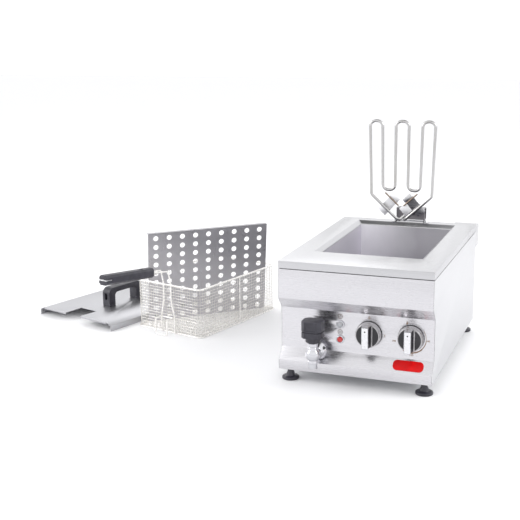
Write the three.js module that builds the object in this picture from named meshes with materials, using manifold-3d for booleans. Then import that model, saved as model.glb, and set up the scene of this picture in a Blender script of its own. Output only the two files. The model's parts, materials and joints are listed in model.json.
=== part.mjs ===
// Countertop electric fryer with its frying basket, sieve plate and tank lid laid out beside it.
// Millimetres. +Z is up, the control panel faces -Y. Everything stands on the plane z = 0.
import * as THREE from 'three';
import { mergeVertices } from 'three/addons/utils/BufferGeometryUtils.js';
import Module from 'manifold-3d';

const wasm = await Module();
wasm.setup();

// ---------------------------------------------------------------- driving dimensions

const gap = 0.3;                // between touching pieces
const sheet = 1.2;              // body sheet
const ringSides = 24;           // facets round a turned piece

const cabinet = { width: 400, depth: 600, floor: 32, top: 319.4 };
const hob = { lip: 19.4, sheet: 1.5, reveal: 1.6 };
const opening = { width: 291, front: 127, back: 33, slopeRun: 11, slopeDrop: 10 };
const fascia = { lowBand: 57.5, flatLow: 87, flatHigh: 193, highBand: 222, recess: 24, fold: 14 };
const tank = { floor: 80, wall: 1.5 };
const wrap = { bottom: 112, top: 292, thickness: 15 };
const support = { width: 240, foot: 18, span: 46, sheet: 2, inset: 70 };
const base = { lift: 1.7, sheet: 1.2, ventLength: 90, ventWidth: 6, ventPitch: 16, ventCount: 6 };
const rearVent = { length: 60, width: 6, pitch: 14, count: 5, bottom: 70 };
const foot = { insetX: 24, insetY: 25, radius: 22.5, padHeight: 7, stem: 8, stud: 4, studTop: 62 };
const spacer = { width: 70, depth: 45, bottom: 250, top: 313, sheet: 1.5 };
const gland = { x: -140, z: 70, nut: 12, length: 16, bore: 5.5 };
const resetButton = { x: -60, z: 210, radius: 6, travel: 3, proud: 6 };
const limiter = { width: 40, depth: 22, height: 36 };

const knob = {
  height: 142, switchX: 33.5, thermostatX: 140.5, standOff: 0.8,
  rim: 33.4, rimThick: 1.6, ring: 32.6, ringFront: 31, ringWall: 3.4, face: 18.4, faceThick: 1.8,
  barHeight: 22, barLength: 57, barBase: 23, barTop: 18.4, insert: 1.2, spindle: 3,
};
const control = { width: 44, height: 44, depth: 38, spindleHole: 4 };
const lamp = { x: -42, clearZ: 159.7, redZ: 120.3, bezel: 10.8, lens: 9.2, barrel: 6, depth: 26 };
const badge = { x: 137, width: 77, height: 27, corner: 11, thickness: 1 };

const tap = {
  x: -97, z: 91, standOff: 30, ball: 18.7, neck: 12.6, neckTop: 31, spout: 11.3, spoutDrop: 36.5,
  bell: 25, inlet: 13.2, bore: 7, seat: 11.2, valve: 10.8, stem: 4, stemRise: 46,
};
const grip = {
  bottom: 33.3, collar: 19, collarHeight: 13, width: 52, depth: 46, chamfer: 9,
  top: 89.5, groove: 2, grooveZ: 61, grooveHeight: 2.4, pocket: 1.6,
};
const drain = { outer: 10.5, wall: 1.5 };

const hinge = { fromBack: 27, rise: 5, pin: 2.2, ear: 2.5, earRadius: 6, earFoot: 11, play: 1, lug: 4.4 };
const heater = {
  x: 10, tube: 4.25, reach: 123, rise: 23.6, split: 7, bendZ: 421, bendHalf: 87, topZ: 630,
  topHalf: [93, 57.1, 18.4], lowHalf: [87, 53.6, 18.3], lowZ: 435.5, sides: 10, bend: 16,
};
const head = { half: 42, depth: 27.9, lift: 3.6, height: 34, sheet: 1.5, flange: 3, setBack: 1.5 };
const terminal = { x: 4, width: 60, thickness: 6 };
const bulb = { radius: 2.2, beside: 3.5, behind: 2, below: 2, apart: 5 };
const clip = { start: 42, length: 28, low: -19, lip: 12.5, apart: 3, behind: 4.6, rise: 6, sheet: 1.5 };
const veePlate = { length: 25, low: 6, width: 28, apart: 1 };

const basket = {
  x: -604, y: 163.5, turn: -14.9, width: 246, length: 378, height: 149, mesh: 1.2, meshLow: 0.6,
  rim: 2.6, frame: 2, stiffener: 2, corner: 16,
};
const handle = {
  shift: 4, wire: 2.2, low: 25, high: 14, spreadZ: 52, narrowZ: 100, hookHalf: 22, hookTop: 50,
  hookOut: 30, shoulderOut: 10, shoulderZ: 193, bend: 6,
};
const basketGrip = {
  start: 78, length: 193, rise: 19, z: 201.5, width: 30, height: 28, edge: 6, wireHalf: 8, grasp: 24,
  hole: 6, holeLength: 16, holeFrom: 40, slot: 4, slotDepth: 24,
};
const sieve = {
  width: 384, height: 284, lean: 6.5, turn: 56.7, x: -14, y: 12.9, sheet: 1.2, lip: 11, hole: 8,
  columns: 9, rows: 10, pitchX: 41.9, pitchZ: 28.3, firstZ: 13.5, lipHole: 2,
};
const lid = {
  x: -821.2, y: -74.6, turn: -17.1, width: 320, length: 440, skirt: 18, slopeRun: 19, slopeDrop: 8,
  sheet: 1.2, notchWidth: 68, notchDepth: 66, notchShift: 6, lip: 6,
};
const pull = {
  shift: 11, start: 126, length: 146, height: 58, width: 30, bar: 16, leg: 26, corner: 20,
  window: 22, windowWidth: 11, windowDepth: 8, screw: 2.2, screwHead: 4.5, screwLength: 14,
};

// ---------------------------------------------------------------- shape helpers

function toSolid(geometry) {
  const bare = new THREE.BufferGeometry();
  bare.setAttribute('position', geometry.getAttribute('position').clone());
  if (geometry.index) bare.setIndex(geometry.index.clone());
  const merged = mergeVertices(bare, 1e-4);
  return new wasm.Manifold(new wasm.Mesh({
    numProp: 3,
    vertProperties: new Float32Array(merged.getAttribute('position').array),
    triVerts: new Uint32Array(merged.index.array),
  }));
}

function toGeometry(solid) {
  const mesh = solid.getMesh();
  const geometry = new THREE.BufferGeometry();
  geometry.setAttribute('position', new THREE.BufferAttribute(new Float32Array(mesh.vertProperties), 3));
  geometry.setIndex(new THREE.BufferAttribute(new Uint32Array(mesh.triVerts), 1));
  geometry.computeVertexNormals();
  return geometry;
}

function cut(geometry, ...tools) {
  return toGeometry(tools.reduce((solid, tool) => solid.subtract(toSolid(tool)), toSolid(geometry)));
}

function join(geometry, ...others) {
  return toGeometry(others.reduce((solid, other) => solid.add(toSolid(other)), toSolid(geometry)));
}

// A box between two corners.
function block(x0, x1, y0, y1, z0, z1) {
  return new THREE.BoxGeometry(x1 - x0, y1 - y0, z1 - z0)
    .translate((x0 + x1) / 2, (y0 + y1) / 2, (z0 + z1) / 2);
}

// A solid of revolution about Z. The profile of [radius, height] runs upwards on the outside.
function turned(profile, sides = ringSides) {
  const points = profile.map(([r, z]) => new THREE.Vector2(r, z));
  return new THREE.LatheGeometry(points, sides).rotateX(Math.PI / 2);
}

function rod(radius, from, to, sides = ringSides) {
  return turned([[0, from], [radius, from], [radius, to], [0, to]], sides);
}

// Turns a piece made along +Z so that it points towards -Y (out of the control panel).
function faceFront(geometry) {
  return geometry.rotateX(Math.PI / 2);
}

// Turns a piece made along +Z so that it points along +X.
function faceRight(geometry) {
  return geometry.rotateY(Math.PI / 2);
}

function outlineShape(points) {
  return new THREE.Shape(points.map(([x, y]) => new THREE.Vector2(x, y)));
}

function roundedRect(width, height, radius) {
  const w = width / 2;
  const h = height / 2;
  const r = radius;
  const shape = new THREE.Shape();
  shape.moveTo(-w + r, -h);
  shape.lineTo(w - r, -h);
  shape.absarc(w - r, -h + r, r, -Math.PI / 2, 0);
  shape.lineTo(w, h - r);
  shape.absarc(w - r, h - r, r, 0, Math.PI / 2);
  shape.lineTo(-w + r, h);
  shape.absarc(-w + r, h - r, r, Math.PI / 2, Math.PI);
  shape.lineTo(-w, -h + r);
  shape.absarc(-w + r, -h + r, r, Math.PI, Math.PI * 1.5);
  return shape;
}

function extruded(shape, depth, curveSegments = 4) {
  return new THREE.ExtrudeGeometry(shape, { depth, bevelEnabled: false, curveSegments });
}

// Extrudes an outline drawn in (y, z) along X, from x0 to x1.
function alongX(points, x0, x1) {
  const axes = new THREE.Matrix4().makeBasis(
    new THREE.Vector3(0, 1, 0), new THREE.Vector3(0, 0, 1), new THREE.Vector3(1, 0, 0));
  return extruded(outlineShape(points), x1 - x0).applyMatrix4(axes).translate(x0, 0, 0);
}

// Closed outline of a folded sheet: the open line of [a, b] points is its left-hand face.
function foldedSheet(line, thickness) {
  const offset = line.map(([a, b], i) => {
    const before = line[Math.max(i - 1, 0)];
    const after = line[Math.min(i + 1, line.length - 1)];
    const here = i === 0 ? [after[0] - a, after[1] - b] : [a - before[0], b - before[1]];
    const next = i === line.length - 1 ? here : [after[0] - a, after[1] - b];
    const n1 = normalOf(here);
    const n2 = normalOf(next);
    const scale = thickness / (1 + n1[0] * n2[0] + n1[1] * n2[1]);
    return [a + (n1[0] + n2[0]) * scale, b + (n1[1] + n2[1]) * scale];
  });
  return [...line, ...offset.reverse()];
}

function normalOf([a, b]) {
  const length = Math.hypot(a, b);
  return [b / length, -a / length];
}

// Skins a row of level rectangles {x0, x1, y0, y1, z}. A ring joins the last one to the first;
// otherwise the first and the last are closed off.
function rectLoft(loops, ring) {
  const points = loops.flatMap((r) => [
    r.x0, r.y0, r.z, r.x1, r.y0, r.z, r.x1, r.y1, r.z, r.x0, r.y1, r.z]);
  const faces = [];
  const steps = ring ? loops.length : loops.length - 1;
  for (let i = 0; i < steps; i += 1) {
    const a = i * 4;
    const b = ((i + 1) % loops.length) * 4;
    for (let k = 0; k < 4; k += 1) {
      const n = (k + 1) % 4;
      faces.push(a + k, a + n, b + n, a + k, b + n, b + k);
    }
  }
  if (!ring) {
    const e = (loops.length - 1) * 4;
    faces.push(0, 2, 1, 0, 3, 2, e, e + 1, e + 2, e, e + 2, e + 3);
  }
  const geometry = new THREE.BufferGeometry();
  geometry.setAttribute('position', new THREE.BufferAttribute(new Float32Array(points), 3));
  geometry.setIndex(faces);
  return geometry;
}

function inset(rect, amount, z) {
  return { x0: rect.x0 + amount, x1: rect.x1 - amount, y0: rect.y0 + amount, y1: rect.y1 - amount, z };
}

// A path through given points, one step for each point, for ExtrudeGeometry.
class Route extends THREE.Curve {
  constructor(points) {
    super();
    this.points = points;
  }

  getPoint(u, target = new THREE.Vector3()) {
    return target.copy(this.points[Math.round(u * (this.points.length - 1))]);
  }

  getPointAt(u, target) {
    return this.getPoint(u, target);
  }

  getTangentAt(u, target = new THREE.Vector3()) {
    const last = this.points.length - 1;
    const i = Math.round(u * last);
    const into = this.points[Math.max(i, 1)].clone().sub(this.points[Math.max(i, 1) - 1]).normalize();
    const out = this.points[Math.min(i, last - 1) + 1].clone()
      .sub(this.points[Math.min(i, last - 1)]).normalize();
    return target.copy(into.add(out).normalize());
  }
}

// Rounds the corners of a line of points with arcs of the given radius.
function rounded(corners, radius, arcSteps) {
  const points = [corners[0]];
  for (let i = 1; i < corners.length - 1; i += 1) {
    const corner = corners[i];
    const back = corners[i - 1].clone().sub(corner).normalize();
    const ahead = corners[i + 1].clone().sub(corner).normalize();
    const half = back.angleTo(ahead) / 2;
    const reach = radius / Math.tan(half);
    const centre = corner.clone().add(back.clone().add(ahead).normalize().multiplyScalar(radius / Math.sin(half)));
    const start = corner.clone().addScaledVector(back, reach).sub(centre);
    const end = corner.clone().addScaledVector(ahead, reach).sub(centre);
    const axis = start.clone().cross(end).normalize();
    const sweep = start.angleTo(end);
    for (let k = 0; k <= arcSteps; k += 1) {
      const spoke = start.clone().applyAxisAngle(axis, (sweep * k) / arcSteps);
      const point = centre.clone().add(spoke);
      if (point.distanceTo(points[points.length - 1]) > 0.05) points.push(point);
    }
  }
  points.push(corners[corners.length - 1]);
  return points;
}

// A round bar or tube outline along a line of corners.
function wire(corners, radius, bend, sides = 8, arcSteps = 4) {
  const path = new Route(bend > 0 ? rounded(corners, bend, arcSteps) : corners);
  const circle = new THREE.Shape();
  circle.absarc(0, 0, radius, 0, Math.PI * 2);
  const circlePoints = circle.getSpacedPoints(sides).slice(0, sides);
  return new THREE.ExtrudeGeometry(new THREE.Shape(circlePoints), {
    steps: path.points.length - 1, bevelEnabled: false, extrudePath: path,
  });
}

const at = (x, y, z) => new THREE.Vector3(x, y, z);

// ---------------------------------------------------------------- finishes

const finish = {
  satinSteel: { color: 0xd2d3d6, roughness: 0.32, metalness: 1 },
  tankSteel: { color: 0xb9bac0, roughness: 0.4, metalness: 1 },
  chrome: { color: 0xe8e9ec, roughness: 0.08, metalness: 1 },
  heaterSteel: { color: 0xd6d6da, roughness: 0.22, metalness: 1 },
  tinnedWire: { color: 0xdcd9d2, roughness: 0.35, metalness: 1 },
  blackPlastic: { color: 0x2c2b31, roughness: 0.45, metalness: 0 },
  darkRing: { color: 0x77757c, roughness: 0.25, metalness: 1 },
  pointer: { color: 0xeeeeee, roughness: 0.3, metalness: 0.4 },
  redEnamel: { color: 0xc0121a, roughness: 0.35, metalness: 0 },
  clearLens: { color: 0xe6e6ea, roughness: 0.1, metalness: 0 },
  redLens: { color: 0xd41f1f, roughness: 0.15, metalness: 0 },
  galvanised: { color: 0x9a9ca0, roughness: 0.5, metalness: 1 },
  ceramicWool: { color: 0xe9e6dc, roughness: 0.95, metalness: 0 },
  switchPlastic: { color: 0x1f1f22, roughness: 0.6, metalness: 0 },
  ceramic: { color: 0xefeae0, roughness: 0.55, metalness: 0 },
  brass: { color: 0xb58d4a, roughness: 0.3, metalness: 1 },
};

function piece(group, name, look, geometry) {
  const mesh = new THREE.Mesh(geometry, new THREE.MeshStandardMaterial(finish[look]));
  mesh.name = name;
  group.add(mesh);
  return mesh;
}

// ---------------------------------------------------------------- places worked out from the sizes

const halfWidth = cabinet.width / 2;
const halfDepth = cabinet.depth / 2;
const hobUnder = cabinet.top - hob.lip;
const panelTop = hobUnder - hob.reveal;
const panelY = -halfDepth + fascia.recess;
const outerRect = { x0: -halfWidth, x1: halfWidth, y0: -halfDepth, y1: halfDepth };
const openingRect = {
  x0: -opening.width / 2, x1: opening.width / 2,
  y0: -halfDepth + opening.front, y1: halfDepth - opening.back,
};
const tankRect = inset(openingRect, opening.slopeRun, 0);
const slopeEnd = cabinet.top - opening.slopeDrop;
const tankTop = slopeEnd - hob.sheet - gap;
const floorPlate = cabinet.floor + base.lift;
const axisZ = cabinet.top + hinge.rise;
const riserZ = axisZ + heater.rise;
const hingeY = halfDepth - hinge.fromBack;
const elementY = hingeY - heater.reach;
const tapY = -halfDepth - tap.standOff;

// ---------------------------------------------------------------- cabinet

function makeHobTop() {
  const rim = hob.sheet;
  return rectLoft([
    { ...outerRect, z: hobUnder },
    { ...outerRect, z: cabinet.top },
    { ...openingRect, z: cabinet.top },
    inset(openingRect, opening.slopeRun, slopeEnd),
    inset(openingRect, opening.slopeRun, slopeEnd - rim),
    inset(openingRect, 0, cabinet.top - rim * 1.4),
    inset(outerRect, rim, cabinet.top - rim),
    inset(outerRect, rim, hobUnder),
  ], true);
}

const fasciaFront = [
  [-halfDepth, fascia.lowBand], [panelY, fascia.flatLow],
  [panelY, fascia.flatHigh], [-halfDepth, fascia.highBand],
];

function makeSidePanel(side) {
  const outline = [
    [-halfDepth, cabinet.floor], ...fasciaFront, [-halfDepth, panelTop],
    [halfDepth, panelTop], [halfDepth, cabinet.floor],
  ].reverse();
  const outer = side * halfWidth;
  const inner = side * (halfWidth - sheet);
  return alongX(outline, Math.min(outer, inner), Math.max(outer, inner));
}

function makeFrontPanel() {
  const line = [
    [-halfDepth + fascia.fold, cabinet.floor], [-halfDepth, cabinet.floor], ...fasciaFront,
    [-halfDepth, panelTop], [-halfDepth + fascia.fold, panelTop],
  ];
  const reach = halfWidth - sheet - gap;
  const panel = alongX(foldedSheet(line, sheet).reverse(), -reach, reach);
  const hole = (x, z, radius) => faceFront(rod(radius, -panelY - 40, -panelY + 40, 20)).translate(x, 0, z);
  return cut(
    panel,
    hole(knob.switchX, knob.height, control.spindleHole),
    hole(knob.thermostatX, knob.height, control.spindleHole),
    hole(lamp.x, lamp.clearZ, lamp.barrel + gap),
    hole(lamp.x, lamp.redZ, lamp.barrel + gap),
    hole(tap.x, tap.z, tap.inlet + 1.5),
  );
}

function makeBackPanel() {
  const reach = halfWidth - sheet - gap;
  const panel = block(-reach, reach, halfDepth - sheet, halfDepth, cabinet.floor, panelTop);
  const slots = [];
  for (const side of [-1, 1]) {
    for (let i = 0; i < rearVent.count; i += 1) {
      const z = rearVent.bottom + i * rearVent.pitch;
      slots.push(block(side * 60 - rearVent.length / 2, side * 60 + rearVent.length / 2,
        halfDepth - 10, halfDepth + 10, z, z + rearVent.width));
    }
  }
  const cable = faceFront(rod(gland.nut - 4, -halfDepth - 10, -halfDepth + 10, 16)).translate(gland.x, 0, gland.z);
  const reset = faceFront(rod(resetButton.radius + gap, -halfDepth - 10, -halfDepth + 10, 16))
    .translate(resetButton.x, 0, resetButton.z);
  return cut(panel, cable, reset, ...slots);
}

function makeBasePlate() {
  const reachX = halfWidth - sheet - gap;
  const front = -halfDepth + sheet + gap;
  const back = halfDepth - sheet - gap;
  const plate = block(-reachX, reachX, front, back, floorPlate, floorPlate + base.sheet);
  const tools = [];
  for (let i = 0; i < base.ventCount; i += 1) {
    const y = (i - (base.ventCount - 1) / 2) * base.ventPitch;
    tools.push(block(-base.ventLength / 2, base.ventLength / 2, y - base.ventWidth / 2,
      y + base.ventWidth / 2, floorPlate - 5, floorPlate + 10));
  }
  for (const [x, y] of footPlaces()) {
    tools.push(rod(foot.stud + gap, floorPlate - 5, floorPlate + 10, 12).translate(x, y, 0));
  }
  return cut(plate, ...tools);
}

function footPlaces() {
  const x = halfWidth - foot.insetX;
  const y = halfDepth - foot.insetY;
  return [[-x, -y], [x, -y], [-x, y], [x, y]];
}

function makeFoot() {
  const neck = floorPlate - gap;
  return turned([
    [0, 0], [foot.radius - 1.5, 0], [foot.radius, 1.5], [foot.radius, foot.padHeight],
    [foot.radius - 3, foot.padHeight + 2.5], [foot.stem + 3, foot.padHeight + 5],
    [foot.stem, foot.padHeight + 8], [foot.stem, neck], [foot.stud, neck],
    [foot.stud, foot.studTop], [0, foot.studTop],
  ], 20);
}

// A hat-section rail across the cabinet, under the tank floor.
function makeTankSupport(y) {
  const bottom = floorPlate + base.sheet + gap;
  const top = tank.floor - tank.wall - gap;
  const half = support.span / 2;
  const under = top - support.sheet;
  const line = [
    [y + half + support.foot, bottom], [y + half, bottom], [y + half, under],
    [y - half, under], [y - half, bottom], [y - half - support.foot, bottom],
  ];
  return alongX(foldedSheet(line, support.sheet), -support.width / 2, support.width / 2);
}

function makeTank() {
  const wall = tank.wall;
  const outer = inset(tankRect, -wall, 0);
  const shell = rectLoft([
    { ...outer, z: tank.floor - wall }, { ...outer, z: tankTop },
    { ...tankRect, z: tankTop }, { ...tankRect, z: tank.floor },
  ], false);
  const outlet = faceFront(rod(drain.outer - drain.wall, -tankRect.y0 - 8, -tankRect.y0 + 8, 20));
  return cut(shell, outlet.translate(tap.x, 0, tap.z));
}

function makeInsulation() {
  const inner = inset(tankRect, -tank.wall - 0.5, 0);
  const outer = inset(inner, -wrap.thickness, 0);
  return rectLoft([
    { ...outer, z: wrap.bottom }, { ...outer, z: wrap.top },
    { ...inner, z: wrap.top }, { ...inner, z: wrap.bottom },
  ], true);
}

// Folded stand-off box behind the cabinet that keeps it clear of a wall; open underneath.
function makeSpacer() {
  const x1 = halfWidth;
  const x0 = x1 - spacer.width;
  const y0 = halfDepth + gap;
  const y1 = y0 + spacer.depth;
  const s = spacer.sheet;
  return cut(
    block(x0, x1, y0, y1, spacer.bottom, spacer.top),
    block(x0 + s, x1 - s, y0 + s, y1 - s, spacer.bottom - 5, spacer.top - s),
  );
}

function makeGland() {
  const body = turned([
    [gland.bore, -sheet - 8], [gland.nut - 4.5, -sheet - 8], [gland.nut - 4.5, gap], [gland.nut, gap],
    [gland.nut, gap + 8], [gland.nut - 2.5, gland.length], [gland.bore, gland.length],
    [gland.bore, -sheet - 8],
  ], 12);
  return body.rotateX(-Math.PI / 2).translate(gland.x, halfDepth, gland.z);
}

// ---------------------------------------------------------------- controls

function makeResetButton() {
  const button = turned([
    [0, -sheet - 8], [resetButton.radius - 2, -sheet - 8], [resetButton.radius - 2, -sheet - 5],
    [resetButton.radius, -sheet - 5], [resetButton.radius, resetButton.proud - 1],
    [resetButton.radius - 1, resetButton.proud], [0, resetButton.proud],
  ], 16);
  return button.rotateX(-Math.PI / 2).translate(resetButton.x, halfDepth, resetButton.z);
}

function makeSafetyThermostat() {
  const y1 = halfDepth - sheet - gap;
  const w = limiter.width / 2;
  const h = limiter.height / 2;
  const body = block(resetButton.x - w, resetButton.x + w, y1 - limiter.depth, y1,
    resetButton.z - h, resetButton.z + h);
  const bore = rod(resetButton.radius + gap, -resetButton.travel - 10, 5, 16)
    .rotateX(-Math.PI / 2).translate(resetButton.x, halfDepth, resetButton.z);
  return cut(body, bore);
}

// Knob parts are made along +Z, with z = 0 at the panel face.
function makeKnobBody() {
  const back = knob.standOff;
  const hub = knob.ring - knob.ringWall - gap;
  const spool = turned([
    [0, back], [knob.rim, back], [knob.rim, back + knob.rimThick], [hub, back + knob.rimThick],
    [hub, knob.face], [knob.ringFront - 0.4, knob.face],
    [knob.ringFront - 0.4, knob.face + knob.faceThick], [0, knob.face + knob.faceThick],
  ], 32);
  const bar = extruded(roundedRect(knob.barBase, knob.barLength, 9), knob.barHeight + 4);
  const position = bar.getAttribute('position');
  for (let i = 0; i < position.count; i += 1) {
    if (position.getZ(i) > 1) position.setX(i, (position.getX(i) * knob.barTop) / knob.barBase);
  }
  bar.translate(0, 0, knob.face + knob.faceThick - 4);
  const bore = rod(knob.spindle + gap, -5, 14, 12);
  return cut(join(spool, bar), bore);
}

function makeKnobRing() {
  const low = knob.standOff + knob.rimThick + gap;
  const high = knob.face - gap;
  const inner = knob.ring - knob.ringWall;
  return turned([
    [inner, low], [knob.ring, low], [knob.ring, low + 2], [knob.ringFront, high], [inner, high], [inner, low],
  ], 32);
}

function makeKnobInsert() {
  const strip = extruded(roundedRect(knob.barTop - 1.2, knob.barLength - 2, 8), knob.insert);
  const dot = rod(1.7, -2, 4, 8).translate(0, knob.barLength / 2 - 10, 0);
  return cut(strip, dot).translate(0, 0, knob.face + knob.faceThick + knob.barHeight + gap);
}

function makeSpindle() {
  return rod(knob.spindle, -control.depth / 2, 13.5, 12);
}

function makeControlBody() {
  const back = -sheet - gap;
  const body = block(-control.width / 2, control.width / 2, -control.height / 2, control.height / 2,
    back - control.depth, back);
  return cut(body, rod(knob.spindle + gap, -control.depth / 2 - 4, 4, 12));
}

function makeLampBody() {
  return turned([
    [0, -lamp.depth], [lamp.barrel, -lamp.depth], [lamp.barrel, gap], [lamp.bezel, gap],
    [lamp.bezel, 2], [lamp.bezel - 1, 2.8], [lamp.lens - 1.5, 2.8], [lamp.lens - 1.5, 1.2],
    [0, 1.2],
  ], 20);
}

function makeLens() {
  const seat = 1.2 + gap;
  const r = lamp.lens - 1.5 - gap;
  return turned([
    [0, seat], [r, seat], [r, 4.2], [r * 0.87, 6.2], [r * 0.55, 7.6], [0, 8.2],
  ], 20);
}

function makeBadge() {
  const slope = Math.atan2(fascia.flatLow - fascia.lowBand, fascia.recess);
  const plate = extruded(roundedRect(badge.width, badge.height, badge.corner), badge.thickness, 6);
  return plate.translate(0, 0, gap).rotateX(slope)
    .translate(badge.x, -halfDepth + fascia.recess / 2, (fascia.flatLow + fascia.lowBand) / 2);
}

// ---------------------------------------------------------------- drain tap

// The tap is made round its valve ball's centre: the inlet comes in from +Y, the spout points down.
function makeTapBody() {
  const inletEnd = panelY - tapY + sheet + 2;
  const rimPlane = -halfDepth + 5 - tapY;
  const inlet = turned([
    [0, 0], [tap.inlet, 0], [tap.inlet + 1, 17], [tap.bell, rimPlane - 3], [tap.bell, rimPlane],
    [tap.inlet, rimPlane], [tap.inlet, inletEnd], [0, inletEnd],
  ]).rotateX(-Math.PI / 2);
  const neck = rod(tap.neck, 0, tap.neckTop);
  const spout = turned([
    [0, -tap.spoutDrop], [tap.spout - 0.8, -tap.spoutDrop], [tap.spout, -tap.spoutDrop + 0.8],
    [tap.spout, 0], [0, 0],
  ]);
  const ball = new THREE.SphereGeometry(tap.ball, 24, 16).rotateX(Math.PI / 2);
  return cut(
    join(ball, inlet, neck, spout),
    new THREE.SphereGeometry(tap.seat, 16, 12).rotateX(Math.PI / 2),
    rod(tap.bore, 0, inletEnd + 5, 16).rotateX(-Math.PI / 2),
    rod(tap.bore, -tap.spoutDrop - 5, 0, 16),
    rod(tap.stem + gap, 0, tap.neckTop + 5, 16),
  );
}

// The valve ball's passage turns from its side port down to the spout.
function makeTapBall() {
  const ball = new THREE.SphereGeometry(tap.valve, 16, 12).rotateX(Math.PI / 2);
  const stem = rod(tap.stem, 0, tap.stemRise, 16);
  return cut(
    join(ball, stem),
    faceRight(rod(tap.bore - 2, 0, tap.valve + 5, 12)),
    rod(tap.bore - 2, -tap.valve - 5, 0, 12),
  );
}

function makeTapGrip() {
  const w = grip.width / 2;
  const d = grip.depth / 2;
  const c = grip.chamfer;
  const outline = (e) => outlineShape([
    [-w + c + e, -d + e], [w - c - e, -d + e], [w - e, -d + c + e], [w - e, d - c - e],
    [w - c - e, d - e], [-w + c + e, d - e], [-w + e, d - c - e], [-w + e, -d + c + e],
  ]);
  const collarTop = grip.bottom + grip.collarHeight;
  const collar = turned([
    [0, grip.bottom], [grip.collar - 1.5, grip.bottom], [grip.collar, grip.bottom + 1.5],
    [grip.collar, collarTop + 1], [0, collarTop + 1],
  ]);
  const wings = extruded(outline(0), grip.top - collarTop).translate(0, 0, collarTop);
  const groove = extruded(outline(-3), grip.grooveHeight).translate(0, 0, grip.grooveZ);
  const core = extruded(outline(grip.groove), grip.grooveHeight + 2).translate(0, 0, grip.grooveZ - 1);
  const band = cut(groove, core);
  const pocketHalf = w - c - 3;
  const pockets = [-1, 1].map((s) => block(-pocketHalf, pocketHalf, s * d - grip.pocket, s * d + grip.pocket,
    grip.grooveZ + grip.grooveHeight + 3, grip.top - 4));
  return cut(join(collar, wings), band, ...pockets, rod(tap.stem + gap, 0, tap.stemRise + gap, 16));
}

function makeDrainPipe() {
  const from = panelY + sheet + 2 + gap;
  const to = tankRect.y0 - tank.wall - gap;
  return turned([
    [drain.outer - drain.wall, from], [drain.outer, from], [drain.outer, to],
    [drain.outer - drain.wall, to], [drain.outer - drain.wall, from],
  ]).rotateX(-Math.PI / 2).translate(tap.x, 0, tap.z);
}

// ---------------------------------------------------------------- swing-up heating element

const headFront = hingeY - head.setBack;
const headBack = headFront + head.depth;
const headLow = axisZ + head.lift;
const headTop = headLow + head.height;

// The tube starts in the head, comes forward, spreads in a V and winds up in three loops.
function makeHeater() {
  const { topHalf: top, lowHalf: low, topZ, lowZ } = heater;
  const y = elementY;
  const tubeEnd = headBack - head.sheet - terminal.thickness - 3;
  const left = [
    at(-heater.split, tubeEnd, riserZ), at(-heater.split, y, riserZ),
    at(-heater.bendHalf, y, heater.bendZ), at(-top[0], y, topZ), at(-top[1], y, topZ),
    at(-low[1], y, lowZ), at(-low[2], y, lowZ), at(-top[2], y, topZ),
  ];
  const right = left.map((p) => at(-p.x, p.y, p.z)).reverse();
  return wire([...left, ...right], heater.tube, heater.bend, heater.sides, 6);
}

// Steel box that carries the element's ends; its right side is open and shows the terminals.
function makeHeadBox() {
  const s = head.sheet;
  const h = head.half;
  const box = cut(
    block(-h, h, headFront, headBack, headLow, headTop),
    block(-h + s, h + 5, headFront + head.flange, headBack - s, headLow + s, headTop - s),
  );
  const lug = (x) => join(
    faceRight(rod(hinge.lug, x, x + s * 2, 12)).translate(0, hingeY, axisZ),
    block(x, x + s * 2, headFront, hingeY + hinge.lug + 6, axisZ, headLow + 1),
  );
  const tubeHole = (side) => rod(heater.tube + gap, headFront - 5, headFront + 8, 12)
    .rotateX(-Math.PI / 2).translate(side * heater.split, 0, riserZ);
  const pinHole = faceRight(rod(hinge.pin + gap, -h - 5, h + 5, 12)).translate(0, hingeY, axisZ);
  const under = block(-h + 2 * s, h - 2 * s, headFront - 1, headBack + 1, axisZ - 9, headLow);
  return cut(join(box, lug(-h), lug(h - 2 * s)), pinHole, tubeHole(-1), tubeHole(1), under);
}

// Ceramic block in the head that the element's ends are wired to.
function makeTerminalBlock() {
  const back = headBack - head.sheet - gap;
  return block(terminal.x - terminal.width / 2, terminal.x + terminal.width / 2,
    back - terminal.thickness, back, headLow + 5, headTop - 5);
}

function makeHingeBracket(side) {
  const low = cabinet.top + gap;
  const r = hinge.earRadius;
  const near = hingeY - hinge.earFoot;
  const far = hingeY + hinge.earFoot;
  const outline = [[near, low], [far, low], [far, low + 2]];
  for (let k = 0; k <= 6; k += 1) {
    const angle = 0.3 + ((Math.PI - 0.6) * k) / 6;
    outline.push([hingeY + r * Math.cos(angle), axisZ + r * Math.sin(angle)]);
  }
  outline.push([near, low + 2]);
  const inner = head.half + hinge.play;
  const ear = alongX(outline, inner, inner + hinge.ear);
  const rest = block(inner, inner + hinge.earFoot, near, far, low, low + 2);
  const pinHole = faceRight(rod(hinge.pin + gap, 0, head.half * 2, 12)).translate(0, hingeY, axisZ);
  const bracket = cut(join(ear, rest), pinHole);
  return side < 0 ? mirrored(bracket) : bracket;
}

function mirrored(geometry) {
  return toGeometry(toSolid(geometry).mirror([1, 0, 0]));
}

function makeHingePin() {
  const end = head.half + hinge.play + hinge.ear + 1.5;
  return faceRight(rod(hinge.pin, -end, end, 12)).translate(0, hingeY, axisZ);
}

// A point beside one leg of the V: along the leg from its upper bend, across it towards the
// inside of the V, and behind the element's plane.
function besideLeg(side, along, across, behind) {
  const bend = at(side * heater.bendHalf, elementY, heater.bendZ);
  const leg = at(side * heater.split, elementY, riserZ).sub(bend).normalize();
  const inward = at(side * leg.z, 0, -side * leg.x);
  return bend.addScaledVector(leg, along).addScaledVector(inward, across).add(at(0, behind, 0));
}

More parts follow.
